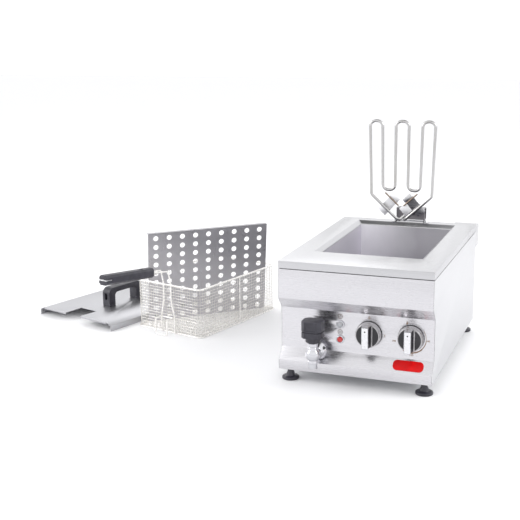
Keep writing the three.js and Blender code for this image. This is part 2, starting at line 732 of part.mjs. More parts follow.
// The clips reach towards each other in the V and the bulbs lie in their folds.
const veeLeg = at(heater.split - heater.bendHalf, 0, riserZ - heater.bendZ).normalize();
const clipEnd = clip.start + clip.length;
const clipHigh = (heater.bendHalf + veeLeg.x * clipEnd - clip.apart) / -veeLeg.z;
const clipStep = clipHigh - clip.lip;
const bulbAcross = clipStep - bulb.beside;
const bulbTip = heater.lowZ - heater.tube - bulb.radius - bulb.below;
const bulbStart = (heater.bendZ - bulbAcross * veeLeg.x - bulbTip) / -veeLeg.z;
const bulbEnd = (heater.bendHalf + bulbAcross * veeLeg.z - bulb.radius - bulb.apart) / -veeLeg.x;

function makeBulb(side) {
  const start = besideLeg(side, bulbStart, bulbAcross, -bulb.behind);
  const end = besideLeg(side, bulbEnd, bulbAcross, -bulb.behind);
  return wire([start, end], bulb.radius, 0, 8);
}

// A folded strip lying on the leg: its line of [across, behind] points is carried along the leg.
function legStrip(side, line, from, to) {
  const origin = besideLeg(side, 0, 0, 0);
  const along = besideLeg(side, 1, 0, 0).sub(origin);
  const across = besideLeg(side, 0, 1, 0).sub(origin);
  const behind = at(0, 1, 0);
  const strip = extruded(outlineShape(foldedSheet(line, -clip.sheet)), to - from);
  const start = besideLeg(side, side > 0 ? from : to, 0, 0);
  const forward = along.clone().multiplyScalar(side > 0 ? 1 : -1);
  const axes = new THREE.Matrix4().makeBasis(across, behind, forward).setPosition(start);
  return toGeometry(toSolid(strip.applyMatrix4(axes)));
}

function makeClip(side) {
  const line = [
    [clip.low, clip.behind], [clipStep, clip.behind],
    [clipStep, clip.behind - clip.rise], [clipHigh, clip.behind - clip.rise],
  ];
  return legStrip(side, line, clip.start, clipEnd);
}

function makeVeePlate() {
  const line = [[veePlate.low, clip.behind], [veePlate.low + veePlate.width, clip.behind]];
  const start = clipEnd + veePlate.apart;
  return legStrip(1, line, start, start + veePlate.length);
}

// ---------------------------------------------------------------- frying basket

// The basket is made round the centre of its floor, long side along Y, handle towards -Y.
const basketRimZ = basket.height - basket.rim;
const basketMeshTop = basketRimZ - basket.rim - gap;

function makeBasketMesh() {
  const { width, length, corner, mesh } = basket;
  const shell = extruded(roundedRect(width, length, corner), basketMeshTop - basket.meshLow);
  const inside = extruded(roundedRect(width - 2 * mesh, length - 2 * mesh, corner - mesh), basket.height);
  return cut(shell, inside.translate(0, 0, mesh)).translate(0, 0, basket.meshLow);
}

// A wire bent into a rounded rectangle; its ends are butted with a hair's gap at the back.
function wireRing(halfX, halfY, z, radius, corner) {
  return wire([
    at(-gap / 2, halfY, z), at(-halfX, halfY, z), at(-halfX, -halfY, z),
    at(halfX, -halfY, z), at(halfX, halfY, z), at(gap / 2, halfY, z),
  ], radius, corner);
}

function makeBasketFrame() {
  const out = gap + basket.frame;
  return wireRing(basket.width / 2 + out, basket.length / 2 + out, basket.frame, basket.frame,
    basket.corner + out);
}

// The top wire and the two upright wires welded under it, half-way along the long sides.
function makeBasketRim() {
  const halfX = (basket.width - basket.mesh) / 2;
  const ring = wireRing(halfX, (basket.length - basket.mesh) / 2, basketRimZ, basket.rim,
    basket.corner);
  const uprightX = basket.width / 2 + gap + basket.stiffener;
  const low = 2 * basket.frame + gap;
  const uprights = [-1, 1].map((side) => rod(basket.stiffener, low, basketRimZ, 8)
    .translate(side * uprightX, 0, 0));
  return join(ring, ...uprights);
}

const wireY = -(basket.length / 2 + gap + 2 * basket.frame + gap + handle.wire);
const gripTilt = Math.asin(basketGrip.rise / basketGrip.length);

function gripPoint(x, outwards, up) {
  const y = -basket.length / 2 - basketGrip.start - outwards * Math.cos(gripTilt) + up * Math.sin(gripTilt);
  return at(x + handle.shift, y, basketGrip.z + outwards * Math.sin(gripTilt) + up * Math.cos(gripTilt));
}

// Two uprights that run from the basket's foot over its rim into the grip, with the hanging hook
// welded in front of them.
function makeHandleWire() {
  const upright = (side) => wire([
    at(handle.shift + side * handle.low, wireY, handle.wire),
    at(handle.shift + side * handle.low, wireY, handle.spreadZ),
    at(handle.shift + side * handle.high, wireY, handle.narrowZ),
    at(handle.shift + side * handle.high, wireY, basket.height + 4),
    at(handle.shift + side * handle.high, wireY - handle.shoulderOut, handle.shoulderZ),
    gripPoint(side * basketGrip.wireHalf, 0, 0),
    gripPoint(side * basketGrip.wireHalf, basketGrip.grasp, 0),
  ], handle.wire, handle.bend, 8, 3);
  const hookY = wireY - handle.wire;
  const hook = wire([
    at(handle.shift - handle.hookHalf, wireY, handle.hookTop),
    at(handle.shift - handle.hookHalf, hookY - handle.hookOut, handle.hookTop),
    at(handle.shift - handle.hookHalf, hookY - handle.hookOut, handle.wire + 1),
    at(handle.shift + handle.hookHalf, hookY - handle.hookOut, handle.wire + 1),
    at(handle.shift + handle.hookHalf, hookY - handle.hookOut, handle.hookTop),
    at(handle.shift + handle.hookHalf, wireY, handle.hookTop),
  ], handle.wire, handle.bend + 2, 8, 3);
  const end = basketGrip.grasp - handle.wire;
  const bridge = wire([
    gripPoint(-basketGrip.wireHalf, end, 0), gripPoint(basketGrip.wireHalf, end, 0),
  ], handle.wire, 0, 8);
  const tie = wire([
    at(handle.shift - handle.low, wireY, handle.hookTop - 2),
    at(handle.shift + handle.low, wireY, handle.hookTop - 2),
  ], handle.wire, 0, 8);
  return join(upright(-1), upright(1), hook, bridge, tie);
}

// Pieces of the grip are made along +Z from the wire end, then laid on the sloping handle line.
function layOnHandle(geometry) {
  return geometry.rotateX(Math.PI / 2 - gripTilt).applyMatrix4(
    new THREE.Matrix4().setPosition(gripPoint(0, 0, 0)));
}

function makeBasketGrip() {
  const { width, height, edge, length } = basketGrip;
  const w = width / 2;
  const h = height / 2;
  const body = extruded(outlineShape([
    [-w + edge, -h], [w - edge, -h], [w, -h + edge], [w, h - edge],
    [w - edge, h], [-w + edge, h], [-w, h - edge], [-w, -h + edge],
  ]), length);
  const bore = basketGrip.wireHalf + handle.wire + gap;
  const socket = block(-bore, bore, -handle.wire - gap, handle.wire + gap, -5, basketGrip.grasp + gap);
  const slot = block(-w - 1, w + 1, -basketGrip.slot / 2, basketGrip.slot / 2,
    length - basketGrip.slotDepth, length + 5);
  const hang = extruded(roundedRect(basketGrip.hole * 1.6, basketGrip.holeLength, basketGrip.hole * 0.7), 60)
    .translate(0, 0, -30).rotateX(Math.PI / 2).translate(0, 0, basketGrip.holeFrom);
  return layOnHandle(cut(body, socket, slot, hang));
}

// Steel core strip that shows in the slot at the free end of the grip.
function makeGripStrip() {
  const w = basketGrip.width / 2 - 1.5;
  const h = basketGrip.slot / 2 - gap;
  const end = basketGrip.length;
  return layOnHandle(block(-w, w, -h, h, end - basketGrip.slotDepth + gap, end + 2));
}

// ---------------------------------------------------------------- sieve plate

function makeSieve() {
  const half = sieve.width / 2;
  const shape = outlineShape([[-half, 0], [half, 0], [half, sieve.height], [-half, sieve.height]]);
  const columns = Array.from({ length: sieve.columns }, (_, i) => (i - (sieve.columns - 1) / 2) * sieve.pitchX);
  for (const x of columns) {
    for (let j = 0; j < sieve.rows; j += 1) {
      const hole = new THREE.Path();
      const z = sieve.firstZ + j * sieve.pitchZ;
      for (let k = 0; k < 8; k += 1) {
        const angle = Math.PI / 8 - (k * Math.PI) / 4;
        const point = [x + sieve.hole * Math.cos(angle), z + sieve.hole * Math.sin(angle)];
        if (k === 0) hole.moveTo(...point);
        else hole.lineTo(...point);
      }
      hole.closePath();
      shape.holes.push(hole);
    }
  }
  const plate = extruded(shape, sieve.sheet).rotateX(Math.PI / 2);
  const lip = block(-half, half, -sieve.sheet, sieve.lip, sieve.height - sieve.sheet, sieve.height);
  const lipHoles = columns.map((x) => rod(sieve.lipHole, sieve.height - 5, sieve.height + 5, 6)
    .translate(x, sieve.lip / 2, 0));
  return cut(join(plate, lip), ...lipHoles);
}

// ---------------------------------------------------------------- tank lid

// The lid is made from its right-hand near corner: it lies towards -X and +Y, skirts down.
const lidTop = lid.skirt + lid.slopeDrop;

function makeLid() {
  const { width, length, slopeRun, skirt } = lid;
  const line = [
    [0, 0], [0, skirt], [-slopeRun, lidTop], [-width + slopeRun, lidTop], [-width, skirt], [-width, 0],
  ];
  const outline = foldedSheet(line, -lid.sheet).reverse();
  const axes = new THREE.Matrix4().makeBasis(at(1, 0, 0), at(0, 0, 1), at(0, -1, 0));
  const plate = extruded(outlineShape(outline), length).applyMatrix4(axes).translate(0, length, 0);
  const middle = -width / 2 - lid.notchShift;
  const left = middle - lid.notchWidth / 2;
  const right = middle + lid.notchWidth / 2;
  const low = lidTop - lid.lip;
  const under = lidTop - lid.sheet / 2;
  const lips = [
    block(-width + slopeRun, left, 0, lid.sheet, low, under),
    block(right, -slopeRun, 0, lid.sheet, low, under),
    block(-width + slopeRun, -slopeRun, length - lid.sheet, length, low - 8, under),
  ];
  const notch = block(left, right, -5, lid.notchDepth, lidTop - 5, lidTop + 5);
  const holes = pullScrewPlaces().map(([x, y]) => rod(pull.screw + gap, lidTop - 5, lidTop + 5, 10)
    .translate(x, y, 0));
  return cut(join(toGeometry(toSolid(plate)), ...lips), notch, ...holes);
}

function pullScrewPlaces() {
  const x = -lid.width / 2 + pull.shift;
  return [pull.leg / 2, pull.length - pull.leg / 2].map((y) => [x, pull.start + y]);
}

function makePull() {
  const { length, height, leg, bar, corner } = pull;
  const outer = roundedRect(length, height + corner, corner);
  const inner = roundedRect(length - 2 * leg, height - bar + corner, corner - bar / 2);
  const axes = new THREE.Matrix4().makeBasis(at(0, 1, 0), at(0, 0, 1), at(1, 0, 0));
  const slab = (shape, depth, top) => extruded(shape, depth, 5).applyMatrix4(axes)
    .translate(-depth / 2, 0, top);
  const body = slab(outer, pull.width, (height - corner) / 2);
  const archOpening = slab(inner, pull.width + 10, (height - bar - corner) / 2);
  const below = block(-100, 100, -200, 200, -100, 0);
  const window = (side) => extruded(roundedRect(pull.windowWidth, pull.window, pull.windowWidth / 2 - 0.1), 40)
    .rotateX(Math.PI / 2).translate(0, side > 0 ? length / 2 + 40 - pull.windowDepth : -length / 2 + pull.windowDepth,
      height * 0.52);
  const x = -lid.width / 2 + pull.shift;
  const bores = pullScrewPlaces().map(([, y]) => rod(pull.screw + gap, -5, pull.screwLength, 10)
    .translate(0, y - pull.start - length / 2, 0));
  return cut(body, archOpening, below, window(-1), window(1), ...bores)
    .translate(x, pull.start + length / 2, lidTop + gap);
}

function makePullScrew([x, y]) {
  const seat = lidTop - lid.sheet - gap;
  return turned([
    [0, seat - 2.5], [pull.screwHead - 1, seat - 2.5], [pull.screwHead, seat - 1], [pull.screwHead, seat],
    [pull.screw, seat], [pull.screw, seat + pull.screwLength], [0, seat + pull.screwLength],
  ], 10).translate(x, y, 0);
}

// ---------------------------------------------------------------- assembly

const radians = THREE.MathUtils.degToRad;

function placed(parent, x, y, z, turn = 0) {
  const group = new THREE.Group();
  group.position.set(x, y, z);
  group.rotation.z = radians(turn);
  parent.add(group);
  return group;
}

const set = new THREE.Group();
const fryer = placed(set, 0, 0, 0);

piece(fryer, 'hob_top', 'satinSteel', makeHobTop());
piece(fryer, 'left_side_panel', 'satinSteel', makeSidePanel(-1));
piece(fryer, 'right_side_panel', 'satinSteel', makeSidePanel(1));
piece(fryer, 'front_panel', 'satinSteel', makeFrontPanel());
piece(fryer, 'back_panel', 'galvanised', makeBackPanel());
piece(fryer, 'base_plate', 'galvanised', makeBasePlate());
piece(fryer, 'tank', 'tankSteel', makeTank());
piece(fryer, 'tank_insulation', 'ceramicWool', makeInsulation());
piece(fryer, 'tank_support_front', 'galvanised', makeTankSupport(tankRect.y0 + support.inset));
piece(fryer, 'tank_support_rear', 'galvanised', makeTankSupport(tankRect.y1 - support.inset));
piece(fryer, 'rear_spacer', 'satinSteel', makeSpacer());
piece(fryer, 'cable_gland', 'switchPlastic', makeGland());
piece(fryer, 'safety_thermostat', 'switchPlastic', makeSafetyThermostat());
piece(fryer, 'reset_button', 'redLens', makeResetButton());
piece(fryer, 'badge_plate', 'redEnamel', makeBadge());

['front_left', 'front_right', 'rear_left', 'rear_right'].forEach((corner, i) => {
  const [x, y] = footPlaces()[i];
  piece(fryer, `foot_${corner}`, 'blackPlastic', makeFoot()).position.set(x, y, 0);
});

for (const [name, x] of [['switch', knob.switchX], ['thermostat', knob.thermostatX]]) {
  const control = placed(fryer, x, panelY, knob.height);
  piece(control, `${name}_knob`, 'blackPlastic', faceFront(makeKnobBody()));
  piece(control, `${name}_knob_ring`, 'darkRing', faceFront(makeKnobRing()));
  piece(control, `${name}_knob_pointer`, 'pointer', faceFront(makeKnobInsert()));
  piece(control, `${name}_spindle`, 'galvanised', faceFront(makeSpindle()));
  piece(control, name === 'switch' ? 'rotary_switch' : 'control_thermostat', 'switchPlastic',
    faceFront(makeControlBody()));
}

for (const [name, z, look] of [['power', lamp.clearZ, 'clearLens'], ['heating', lamp.redZ, 'redLens']]) {
  const light = placed(fryer, lamp.x, panelY, z);
  piece(light, `${name}_lamp_body`, 'chrome', faceFront(makeLampBody()));
  piece(light, `${name}_lamp_lens`, look, faceFront(makeLens()));
}

const valve = placed(fryer, tap.x, tapY, tap.z);
piece(valve, 'tap_body', 'chrome', makeTapBody());
piece(valve, 'tap_ball', 'galvanised', makeTapBall());
piece(valve, 'tap_grip', 'blackPlastic', makeTapGrip());
piece(fryer, 'drain_pipe', 'tankSteel', makeDrainPipe());

const swing = placed(fryer, heater.x, 0, 0);
piece(swing, 'heating_element', 'heaterSteel', makeHeater());
piece(swing, 'element_head', 'tankSteel', makeHeadBox());
piece(swing, 'terminal_block', 'ceramic', makeTerminalBlock());
piece(swing, 'thermostat_bulb', 'brass', makeBulb(-1));
piece(swing, 'limiter_bulb', 'brass', makeBulb(1));
piece(swing, 'bulb_clip_left', 'tankSteel', makeClip(-1));
piece(swing, 'bulb_clip_right', 'tankSteel', makeClip(1));
piece(swing, 'element_vee_plate', 'satinSteel', makeVeePlate());
piece(swing, 'hinge_bracket_left', 'satinSteel', makeHingeBracket(-1));
piece(swing, 'hinge_bracket_right', 'satinSteel', makeHingeBracket(1));
piece(swing, 'hinge_pin', 'chrome', makeHingePin());

const frying = placed(set, basket.x, basket.y, 0, basket.turn);
piece(frying, 'basket_mesh', 'tinnedWire', makeBasketMesh());
piece(frying, 'basket_base_frame', 'tinnedWire', makeBasketFrame());
piece(frying, 'basket_rim', 'tinnedWire', makeBasketRim());
piece(frying, 'basket_handle_wire', 'tinnedWire', makeHandleWire());
piece(frying, 'basket_grip', 'blackPlastic', makeBasketGrip());
piece(frying, 'basket_grip_strip', 'satinSteel', makeGripStrip());

const sieveStand = placed(frying, sieve.x, sieve.y, basket.meshLow + basket.mesh + 1, sieve.turn);
piece(sieveStand, 'sieve_plate', 'tankSteel', makeSieve()).rotation.x = radians(sieve.lean);

const cover = placed(set, lid.x, lid.y, 0, lid.turn);
piece(cover, 'lid', 'satinSteel', makeLid());
piece(cover, 'lid_handle', 'blackPlastic', makePull());
piece(cover, 'lid_screw_front', 'galvanised', makePullScrew(pullScrewPlaces()[0]));
piece(cover, 'lid_screw_rear', 'galvanised', makePullScrew(pullScrewPlaces()[1]));

// The origin is the middle of the whole set's footprint, at counter level.
set.updateMatrixWorld(true);
const extent = new THREE.Box3().setFromObject(set, true);
const middle = extent.getCenter(new THREE.Vector3());
set.position.set(-middle.x, -middle.y, -extent.min.z);

export default set;
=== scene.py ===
import bpy
import json
import math
from mathutils import Matrix, Vector


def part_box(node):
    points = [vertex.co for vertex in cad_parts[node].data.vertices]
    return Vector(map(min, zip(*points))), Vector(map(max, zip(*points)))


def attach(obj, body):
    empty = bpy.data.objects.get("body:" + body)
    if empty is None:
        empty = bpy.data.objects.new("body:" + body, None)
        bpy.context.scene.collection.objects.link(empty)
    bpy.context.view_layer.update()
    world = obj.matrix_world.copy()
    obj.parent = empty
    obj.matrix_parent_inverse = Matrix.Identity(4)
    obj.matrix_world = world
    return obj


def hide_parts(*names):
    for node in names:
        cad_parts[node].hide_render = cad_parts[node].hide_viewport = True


# Looks of the countertop fryer, its basket, sieve plate and lid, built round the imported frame.

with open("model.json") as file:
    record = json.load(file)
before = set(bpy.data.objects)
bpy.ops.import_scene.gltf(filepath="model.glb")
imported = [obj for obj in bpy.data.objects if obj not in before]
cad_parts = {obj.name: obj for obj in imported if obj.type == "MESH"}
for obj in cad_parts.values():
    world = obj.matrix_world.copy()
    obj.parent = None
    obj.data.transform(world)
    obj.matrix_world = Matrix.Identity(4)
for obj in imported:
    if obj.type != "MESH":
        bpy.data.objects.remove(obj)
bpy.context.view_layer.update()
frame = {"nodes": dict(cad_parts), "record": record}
nodes = frame["nodes"]
bodyOfNode = {n: b for b, members in frame["record"]["behaviour"]["bodies"].items() for n in members}
mm = 0.001


# Places: the fryer, the basket and the lid each have a frame of their own.

def boxMiddle(node):
    low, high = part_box(node)
    return (low + high) / 2


fryerX, fryerY = boxMiddle("hob_top").xy
loosePieces = {"basketTurn": -14.9, "lidTurn": -17.1, "lidHalfWidth": 160, "lidHalfLength": 220}


def placement(origin, turn=0):
    return Matrix.Translation(origin) @ Matrix.Rotation(math.radians(turn), 4, "Z")


fryerFrame = placement((fryerX, fryerY, 0))
basketFrame = placement((*boxMiddle("basket_mesh").xy, 0), loosePieces["basketTurn"])
lidFrame = placement((*boxMiddle("lid").xy, 0), loosePieces["lidTurn"]) @ Matrix.Translation(
    (loosePieces["lidHalfWidth"] * mm, -loosePieces["lidHalfLength"] * mm, 0))


def point(x, y, z):
    return Vector((x, y, z)) * mm


cameraSetup = {
    "place": (653.97, -2631.93, 923.69), "yaw": 21.147, "pitch": 13.631, "roll": -0.793,
    "lens": 70.02453, "sensor": 36, "farthest": 50,
}


def makeCamera(c):
    yaw, pitch, roll = (math.radians(c[k]) for k in ("yaw", "pitch", "roll"))
    ahead = Vector((-math.sin(yaw) * math.cos(pitch), math.cos(yaw) * math.cos(pitch), -math.sin(pitch)))
    level = Vector((math.cos(yaw), math.sin(yaw), 0))
    lift = level.cross(ahead)
    right = level * math.cos(roll) + lift * math.sin(roll)
    up = lift * math.cos(roll) - level * math.sin(roll)
    data = bpy.data.cameras.new("camera")
    data.sensor_width = c["sensor"]
    data.lens = c["lens"]
    data.clip_end = c["farthest"]
    camera = bpy.data.objects.new("camera", data)
    bpy.context.scene.collection.objects.link(camera)
    turn = Matrix((right, up, -ahead)).transposed().to_4x4()
    camera.matrix_world = Matrix.Translation(fryerFrame @ point(*c["place"])) @ turn
    bpy.context.scene.camera = camera


studio = {
    "floorSize": 24, "floorColour": (0.93, 0.93, 0.94), "skyPower": 1.3,
    # height of the direction (sine), brightness there
    "sky": [(0.0, 0.95), (0.5, 1.0), (0.62, 1.0), (0.86, 0.9), (0.955, 0.16), (1.0, 0.03)],
    # name, place, aim, width, height, watts
    "boxes": [
        ("leftSoftbox", (-3.4, -1.6, 2.0), (0.2, -0.1, 0.3), 1.8, 2.2, 60),
        ("rightSoftbox", (3.6, 0.3, 2.3), (0.4, 0.0, 0.25), 1.4, 1.8, 55),
        ("rearSoftbox", (-1.2, 3.4, 2.8), (0.2, 0.0, 0.3), 2.4, 1.0, 9),
    ],
}


def makeStudio(s):
    bpy.ops.mesh.primitive_plane_add(size=s["floorSize"], location=(0, 0, 0))
    floor = bpy.context.object
    floor.name = "studioFloor"
    paper = Look("studioFloor", s["floorColour"], 0.8)
    paper.bump(paper.noise(40, 2), 0.0002, 0.2)
    floor.data.materials.append(paper.material)
    for name, place, aim, width, height, watts in s["boxes"]:
        data = bpy.data.lights.new(name, "AREA")
        data.shape = "RECTANGLE"
        data.size, data.size_y, data.energy = width, height, watts
        light = bpy.data.objects.new(name, data)
        bpy.context.scene.collection.objects.link(light)
        light.location = place
        light.rotation_euler = (Vector(aim) - Vector(place)).to_track_quat("-Z", "Y").to_euler()
    world = bpy.data.worlds.new("studioWorld")
    world.use_nodes = True
    sky = Nodes(world.node_tree)
    direction = sky.add("ShaderNodeTexCoord", output="Generated")
    height = sky.add("ShaderNodeSeparateXYZ", None, [direction], "Z")
    stops = [(place, (bright * 0.99, bright * 0.992, bright)) for place, bright in s["sky"]]
    light = sky.add("ShaderNodeValToRGB", {"stops": stops}, [height])
    background = world.node_tree.nodes["Background"]
    sky.tree.links.new(light.socket, background.inputs["Color"])
    background.inputs["Strength"].default_value = s["skyPower"]
    bpy.context.scene.world = world
    view = bpy.context.scene.view_settings
    view.view_transform = "Standard"
    view.look = "None"


class Value:
    # one socket of a node, so that sums on it read as sums
    def __init__(self, nodes, socket):
        self.nodes = nodes
        self.socket = socket

    def maths(self, operation, *others):
        return self.nodes.add("ShaderNodeMath", {"operation": operation}, [self, *others])

    def __add__(self, other):
        return self.maths("ADD", other)

    def __sub__(self, other):
        return self.maths("SUBTRACT", other)

    def __rsub__(self, other):
        return self.nodes.add("ShaderNodeMath", {"operation": "SUBTRACT"}, [other, self])

    def __mul__(self, other):
        return self.maths("MULTIPLY", other)

    __radd__ = __add__
    __rmul__ = __mul__


class Nodes:
    # adds nodes to a material or to the world: settings first, then the values or links of the inputs
    def __init__(self, tree):
        self.tree = tree

    def add(self, kind, settings=None, inputs=None, output=0):
        node = self.tree.nodes.new(kind)
        for key, value in (settings or {}).items():
            if key == "stops":
                self.setStops(node.color_ramp, value)
            else:
                setattr(node, key, value)
        pairs = inputs.items() if isinstance(inputs, dict) else enumerate(inputs or [])
        for key, value in pairs:
            if isinstance(value, Value):
                self.tree.links.new(value.socket, node.inputs[key])
            else:
                node.inputs[key].default_value = value
        return Value(self, node.outputs[output])

    def setStops(self, ramp, stops):
        while len(ramp.elements) < len(stops):
            ramp.elements.new(0.5)
        for element, (place, colour) in zip(ramp.elements, stops):
            element.position = place
            element.color = (*colour, 1)


class Look(Nodes):
    # a material whose constants sit on the shader and whose patterns are linked to it
    def __init__(self, name, colour=(0.8, 0.8, 0.8), roughness=0.5, metallic=0.0, **constants):
        self.material = bpy.data.materials.new(name)
        self.material.use_nodes = True
        super().__init__(self.material.node_tree)
        self.shader = self.tree.nodes["Principled BSDF"]
        self.shader.inputs["Base Color"].default_value = (*colour, 1)
        self.shader.inputs["Roughness"].default_value = roughness
        self.shader.inputs["Metallic"].default_value = metallic
        for key, value in constants.items():
            self.shader.inputs[key.replace("_", " ")].default_value = value

    def place(self, scale=(1, 1, 1), turn=(0, 0, 0)):
        source = self.add("ShaderNodeTexCoord", output="Object")
        return self.add("ShaderNodeMapping", None, {"Vector": source, "Rotation": turn, "Scale": scale})

    def noise(self, scale, detail=3, stretch=(1, 1, 1), roughness=0.5, turn=(0, 0, 0)):
        place = self.place(stretch, turn)
        inputs = {"Vector": place, "Scale": scale, "Detail": detail, "Roughness": roughness}
        return self.add("ShaderNodeTexNoise", None, inputs)

    def cells(self, scale, output="Distance"):
        return self.add("ShaderNodeTexVoronoi", None, {"Vector": self.place(), "Scale": scale}, output)

    def range(self, value, low, high, newLow, newHigh):
        return self.add("ShaderNodeMapRange", {"clamp": True}, [value, low, high, newLow, newHigh])

    def between(self, first, second, factor, low=None, high=None):
        # the first colour where the factor is low, the second where it is high
        share = factor if low is None else self.range(factor, low, high, 0, 1)
        inputs = {"Factor": share, 6: (*first, 1), 7: (*second, 1)}
        return self.add("ShaderNodeMix", {"data_type": "RGBA"}, inputs, 2)

    def use(self, **links):
        for key, value in links.items():
            self.tree.links.new(value.socket, self.shader.inputs[key.replace("_", " ")])

    def bump(self, height, depth, strength=1.0):
        inputs = {"Height": height, "Distance": depth, "Strength": strength}
        self.use(Normal=self.add("ShaderNodeBump", None, inputs))


def scaled(colour, factor):
    return [min(1, c * factor) for c in colour]


def brushedSheet(name, colour, grain, roughness, turn=0.0):
    # stainless sheet with a straight grain along X or Y (1 or 2: the axis), faint smears and slow waves
    look = Look(name, colour, roughness, 1.0)
    angle = (0, 0, math.radians(turn))
    stretch = {1: (0.012, 1, 1), 2: (1, 0.012, 1)}[grain]
    fine = look.noise(2600, 2, stretch, 0.6, angle)
    streak = look.noise(420, 3, stretch, 0.6, angle)
    smear = look.noise(9, 4, (1, 1, 1), 0.55)
    wear = fine * 0.4 + streak * 0.35 + smear * 0.35
    look.use(Roughness=look.range(wear, 0.35, 0.75, roughness - 0.07, roughness + 0.07))
    tone = streak * 0.6 + smear * 0.4
    look.use(Base_Color=look.between(scaled(colour, 0.955), colour, tone, 0.3, 0.7))
    wave = look.noise(3.2, 1)
    look.bump(fine * 0.35 + streak * 0.3 + wave * 14, 0.00001, 0.8)
    return look.material


def milledSheet(name, colour, roughness, fade=None):
    # pickled sheet of the tank and the sieve: no grain, a soft cloudy sheen and fine scuffs;
    # the optional gradient gives a direction, where it starts and ends, and how much painted light brightens
    # and painted shade darkens the sheet's colour there
    look = Look(name, colour, roughness, 1.0)
    cloud = look.noise(16, 5, (1, 1, 1), 0.6)
    speck = look.noise(900, 2)
    scuff = look.noise(60, 2, (1, 1, 0.08), 0.7)
    wear = cloud * 0.5 + speck * 0.2 + scuff * 0.3
    look.use(Roughness=look.range(wear, 0.3, 0.7, roughness - 0.07, roughness + 0.09))
    shade = look.between(scaled(colour, 0.96), colour, cloud, 0.35, 0.65)
    # painted light and shade: the sheet's colour is scaled from the brightening factor at one end of the
    # axis to the darkening factor at the other
    if fade:
        axis, start, end, light, dim = fade
        along = look.add("ShaderNodeVectorMath", {"operation": "DOT_PRODUCT"}, [look.place(), axis], "Value")
        tint = look.range(along + cloud * 0.05, start, end, light, dim)
        shade = look.add("ShaderNodeVectorMath", {"operation": "SCALE"}, {0: shade, "Scale": tint})
    look.use(Base_Color=shade)
    look.bump(speck * 0.4 + cloud * 1.2, 0.00002, 0.5)
    return look.material


def platedMetal(name, colour, roughness):
    # polished or bright-drawn metal with a very slight ripple and a few dull spots
    look = Look(name, colour, roughness, 1.0)
    spots = look.noise(140, 4, (1, 1, 1), 0.7)
    look.use(Roughness=look.range(spots, 0.4, 0.75, roughness * 0.7, roughness * 1.7))
    look.use(Base_Color=look.between(colour, scaled(colour, 0.93), spots, 0.35, 0.7))
    look.bump(look.noise(55, 2), 0.00003, 0.5)
    return look.material


def sheathMetal(name, colour, hotColour, roughness):
    # bright tube, a little straw coloured where it has been hot
    look = Look(name, colour, roughness, 1.0)
    hot = look.noise(18, 3, (1, 1, 0.5))
    fine = look.noise(700, 3)
    look.use(Base_Color=look.between(colour, hotColour, hot, 0.45, 0.72))
    wear = fine * 0.5 + hot * 0.5
    look.use(Roughness=look.range(wear, 0.35, 0.7, roughness - 0.07, roughness + 0.08))
    look.bump(fine, 0.00002, 0.5)
    return look.material


def wireFinish(name, bright, dim):
    # tinned wire, part plating and part oxide, with dull stretches
    look = Look(name, bright, 0.34, 0.35)
    dull = look.noise(120, 3)
    look.use(Roughness=look.range(dull, 0.35, 0.7, 0.22, 0.42))
    look.use(Base_Color=look.between(bright, dim, dull, 0.4, 0.7))
    look.bump(look.noise(600, 2), 0.00003, 0.6)
    return look.material


def mouldedPlastic(name, colour, roughness, grain=1.0):
    # spark-eroded mould texture, with handling marks that shine a little more
    look = Look(name, colour, roughness, 0.0, Specular_IOR_Level=0.5)
    pebble = look.cells(1500)
    rub = look.noise(38, 4, (1, 1, 1), 0.6)
    lighter = [c * 1.5 + 0.004 for c in colour]
    look.use(Base_Color=look.between(colour, lighter, rub, 0.4, 0.75))
    look.use(Roughness=roughness + 0.08 - look.range(rub, 0.35, 0.7, 0, 0.18))
    look.bump(pebble * 0.6 + look.noise(2500, 2) * 0.4, 0.00004 * grain, 0.6)
    return look.material


def turnedMetal(name, colour, roughness):
    # metal with the fine lines of a lathe tool
    look = Look(name, colour, roughness, 1.0, Anisotropic=0.5)
    lines = look.noise(1500, 2, (0.05, 1, 0.05))
    look.use(Roughness=look.range(lines, 0.3, 0.7, roughness - 0.07, roughness + 0.09))
    look.bump(lines, 0.00002, 0.6)
    return look.material


def enamel(name, colour):
    # thin enamel with a slight orange-peel surface
    look = Look(name, colour, 0.45, 0.0, Coat_Weight=0.12, Coat_Roughness=0.1, Specular_IOR_Level=0.15)
    look.use(Base_Color=look.between(scaled(colour, 0.75), colour, look.noise(60, 3), 0.3, 0.7))
    look.bump(look.noise(240, 2), 0.00003, 0.4)
    return look.material


def lensPlastic(name, colour):
    # moulded lens with fine facets inside
    look = Look(name, colour, 0.12, 0.0, Coat_Weight=0.8, Coat_Roughness=0.03, Subsurface_Weight=0.25)
    look.shader.inputs["Subsurface Radius"].default_value = (0.004, 0.002, 0.002)
    flecks = look.cells(700)
    bright = [min(1, c * 1.35 + 0.02) for c in colour]
    look.use(Base_Color=look.between(bright, colour, flecks, 0.1, 0.7))
    look.bump(flecks, 0.00012, 0.7)
    return look.material


def spangledZinc(name):
    # hot-dip zinc, each crystal with its own tone
    look = Look(name, (0.6, 0.61, 0.63), 0.42, 1.0)
    crystal = look.cells(150, "Color")
    tone = look.add("ShaderNodeSeparateColor", None, [crystal])
    look.use(Roughness=look.range(tone, 0, 1, 0.3, 0.55))
    look.use(Base_Color=look.between((0.53, 0.54, 0.56), (0.7, 0.71, 0.73), tone))
    look.bump(look.noise(500, 3), 0.00003, 0.5)
    return look.material


def woolBlanket(name):
    # matted ceramic fibre
    look = Look(name, (0.82, 0.8, 0.74), 0.95)
    fibre = look.noise(320, 5, (1, 1, 0.2), 0.75)
    look.use(Base_Color=look.between((0.7, 0.67, 0.6), (0.92, 0.9, 0.86), fibre))
    look.bump(fibre, 0.0012, 0.8)
    return look.material


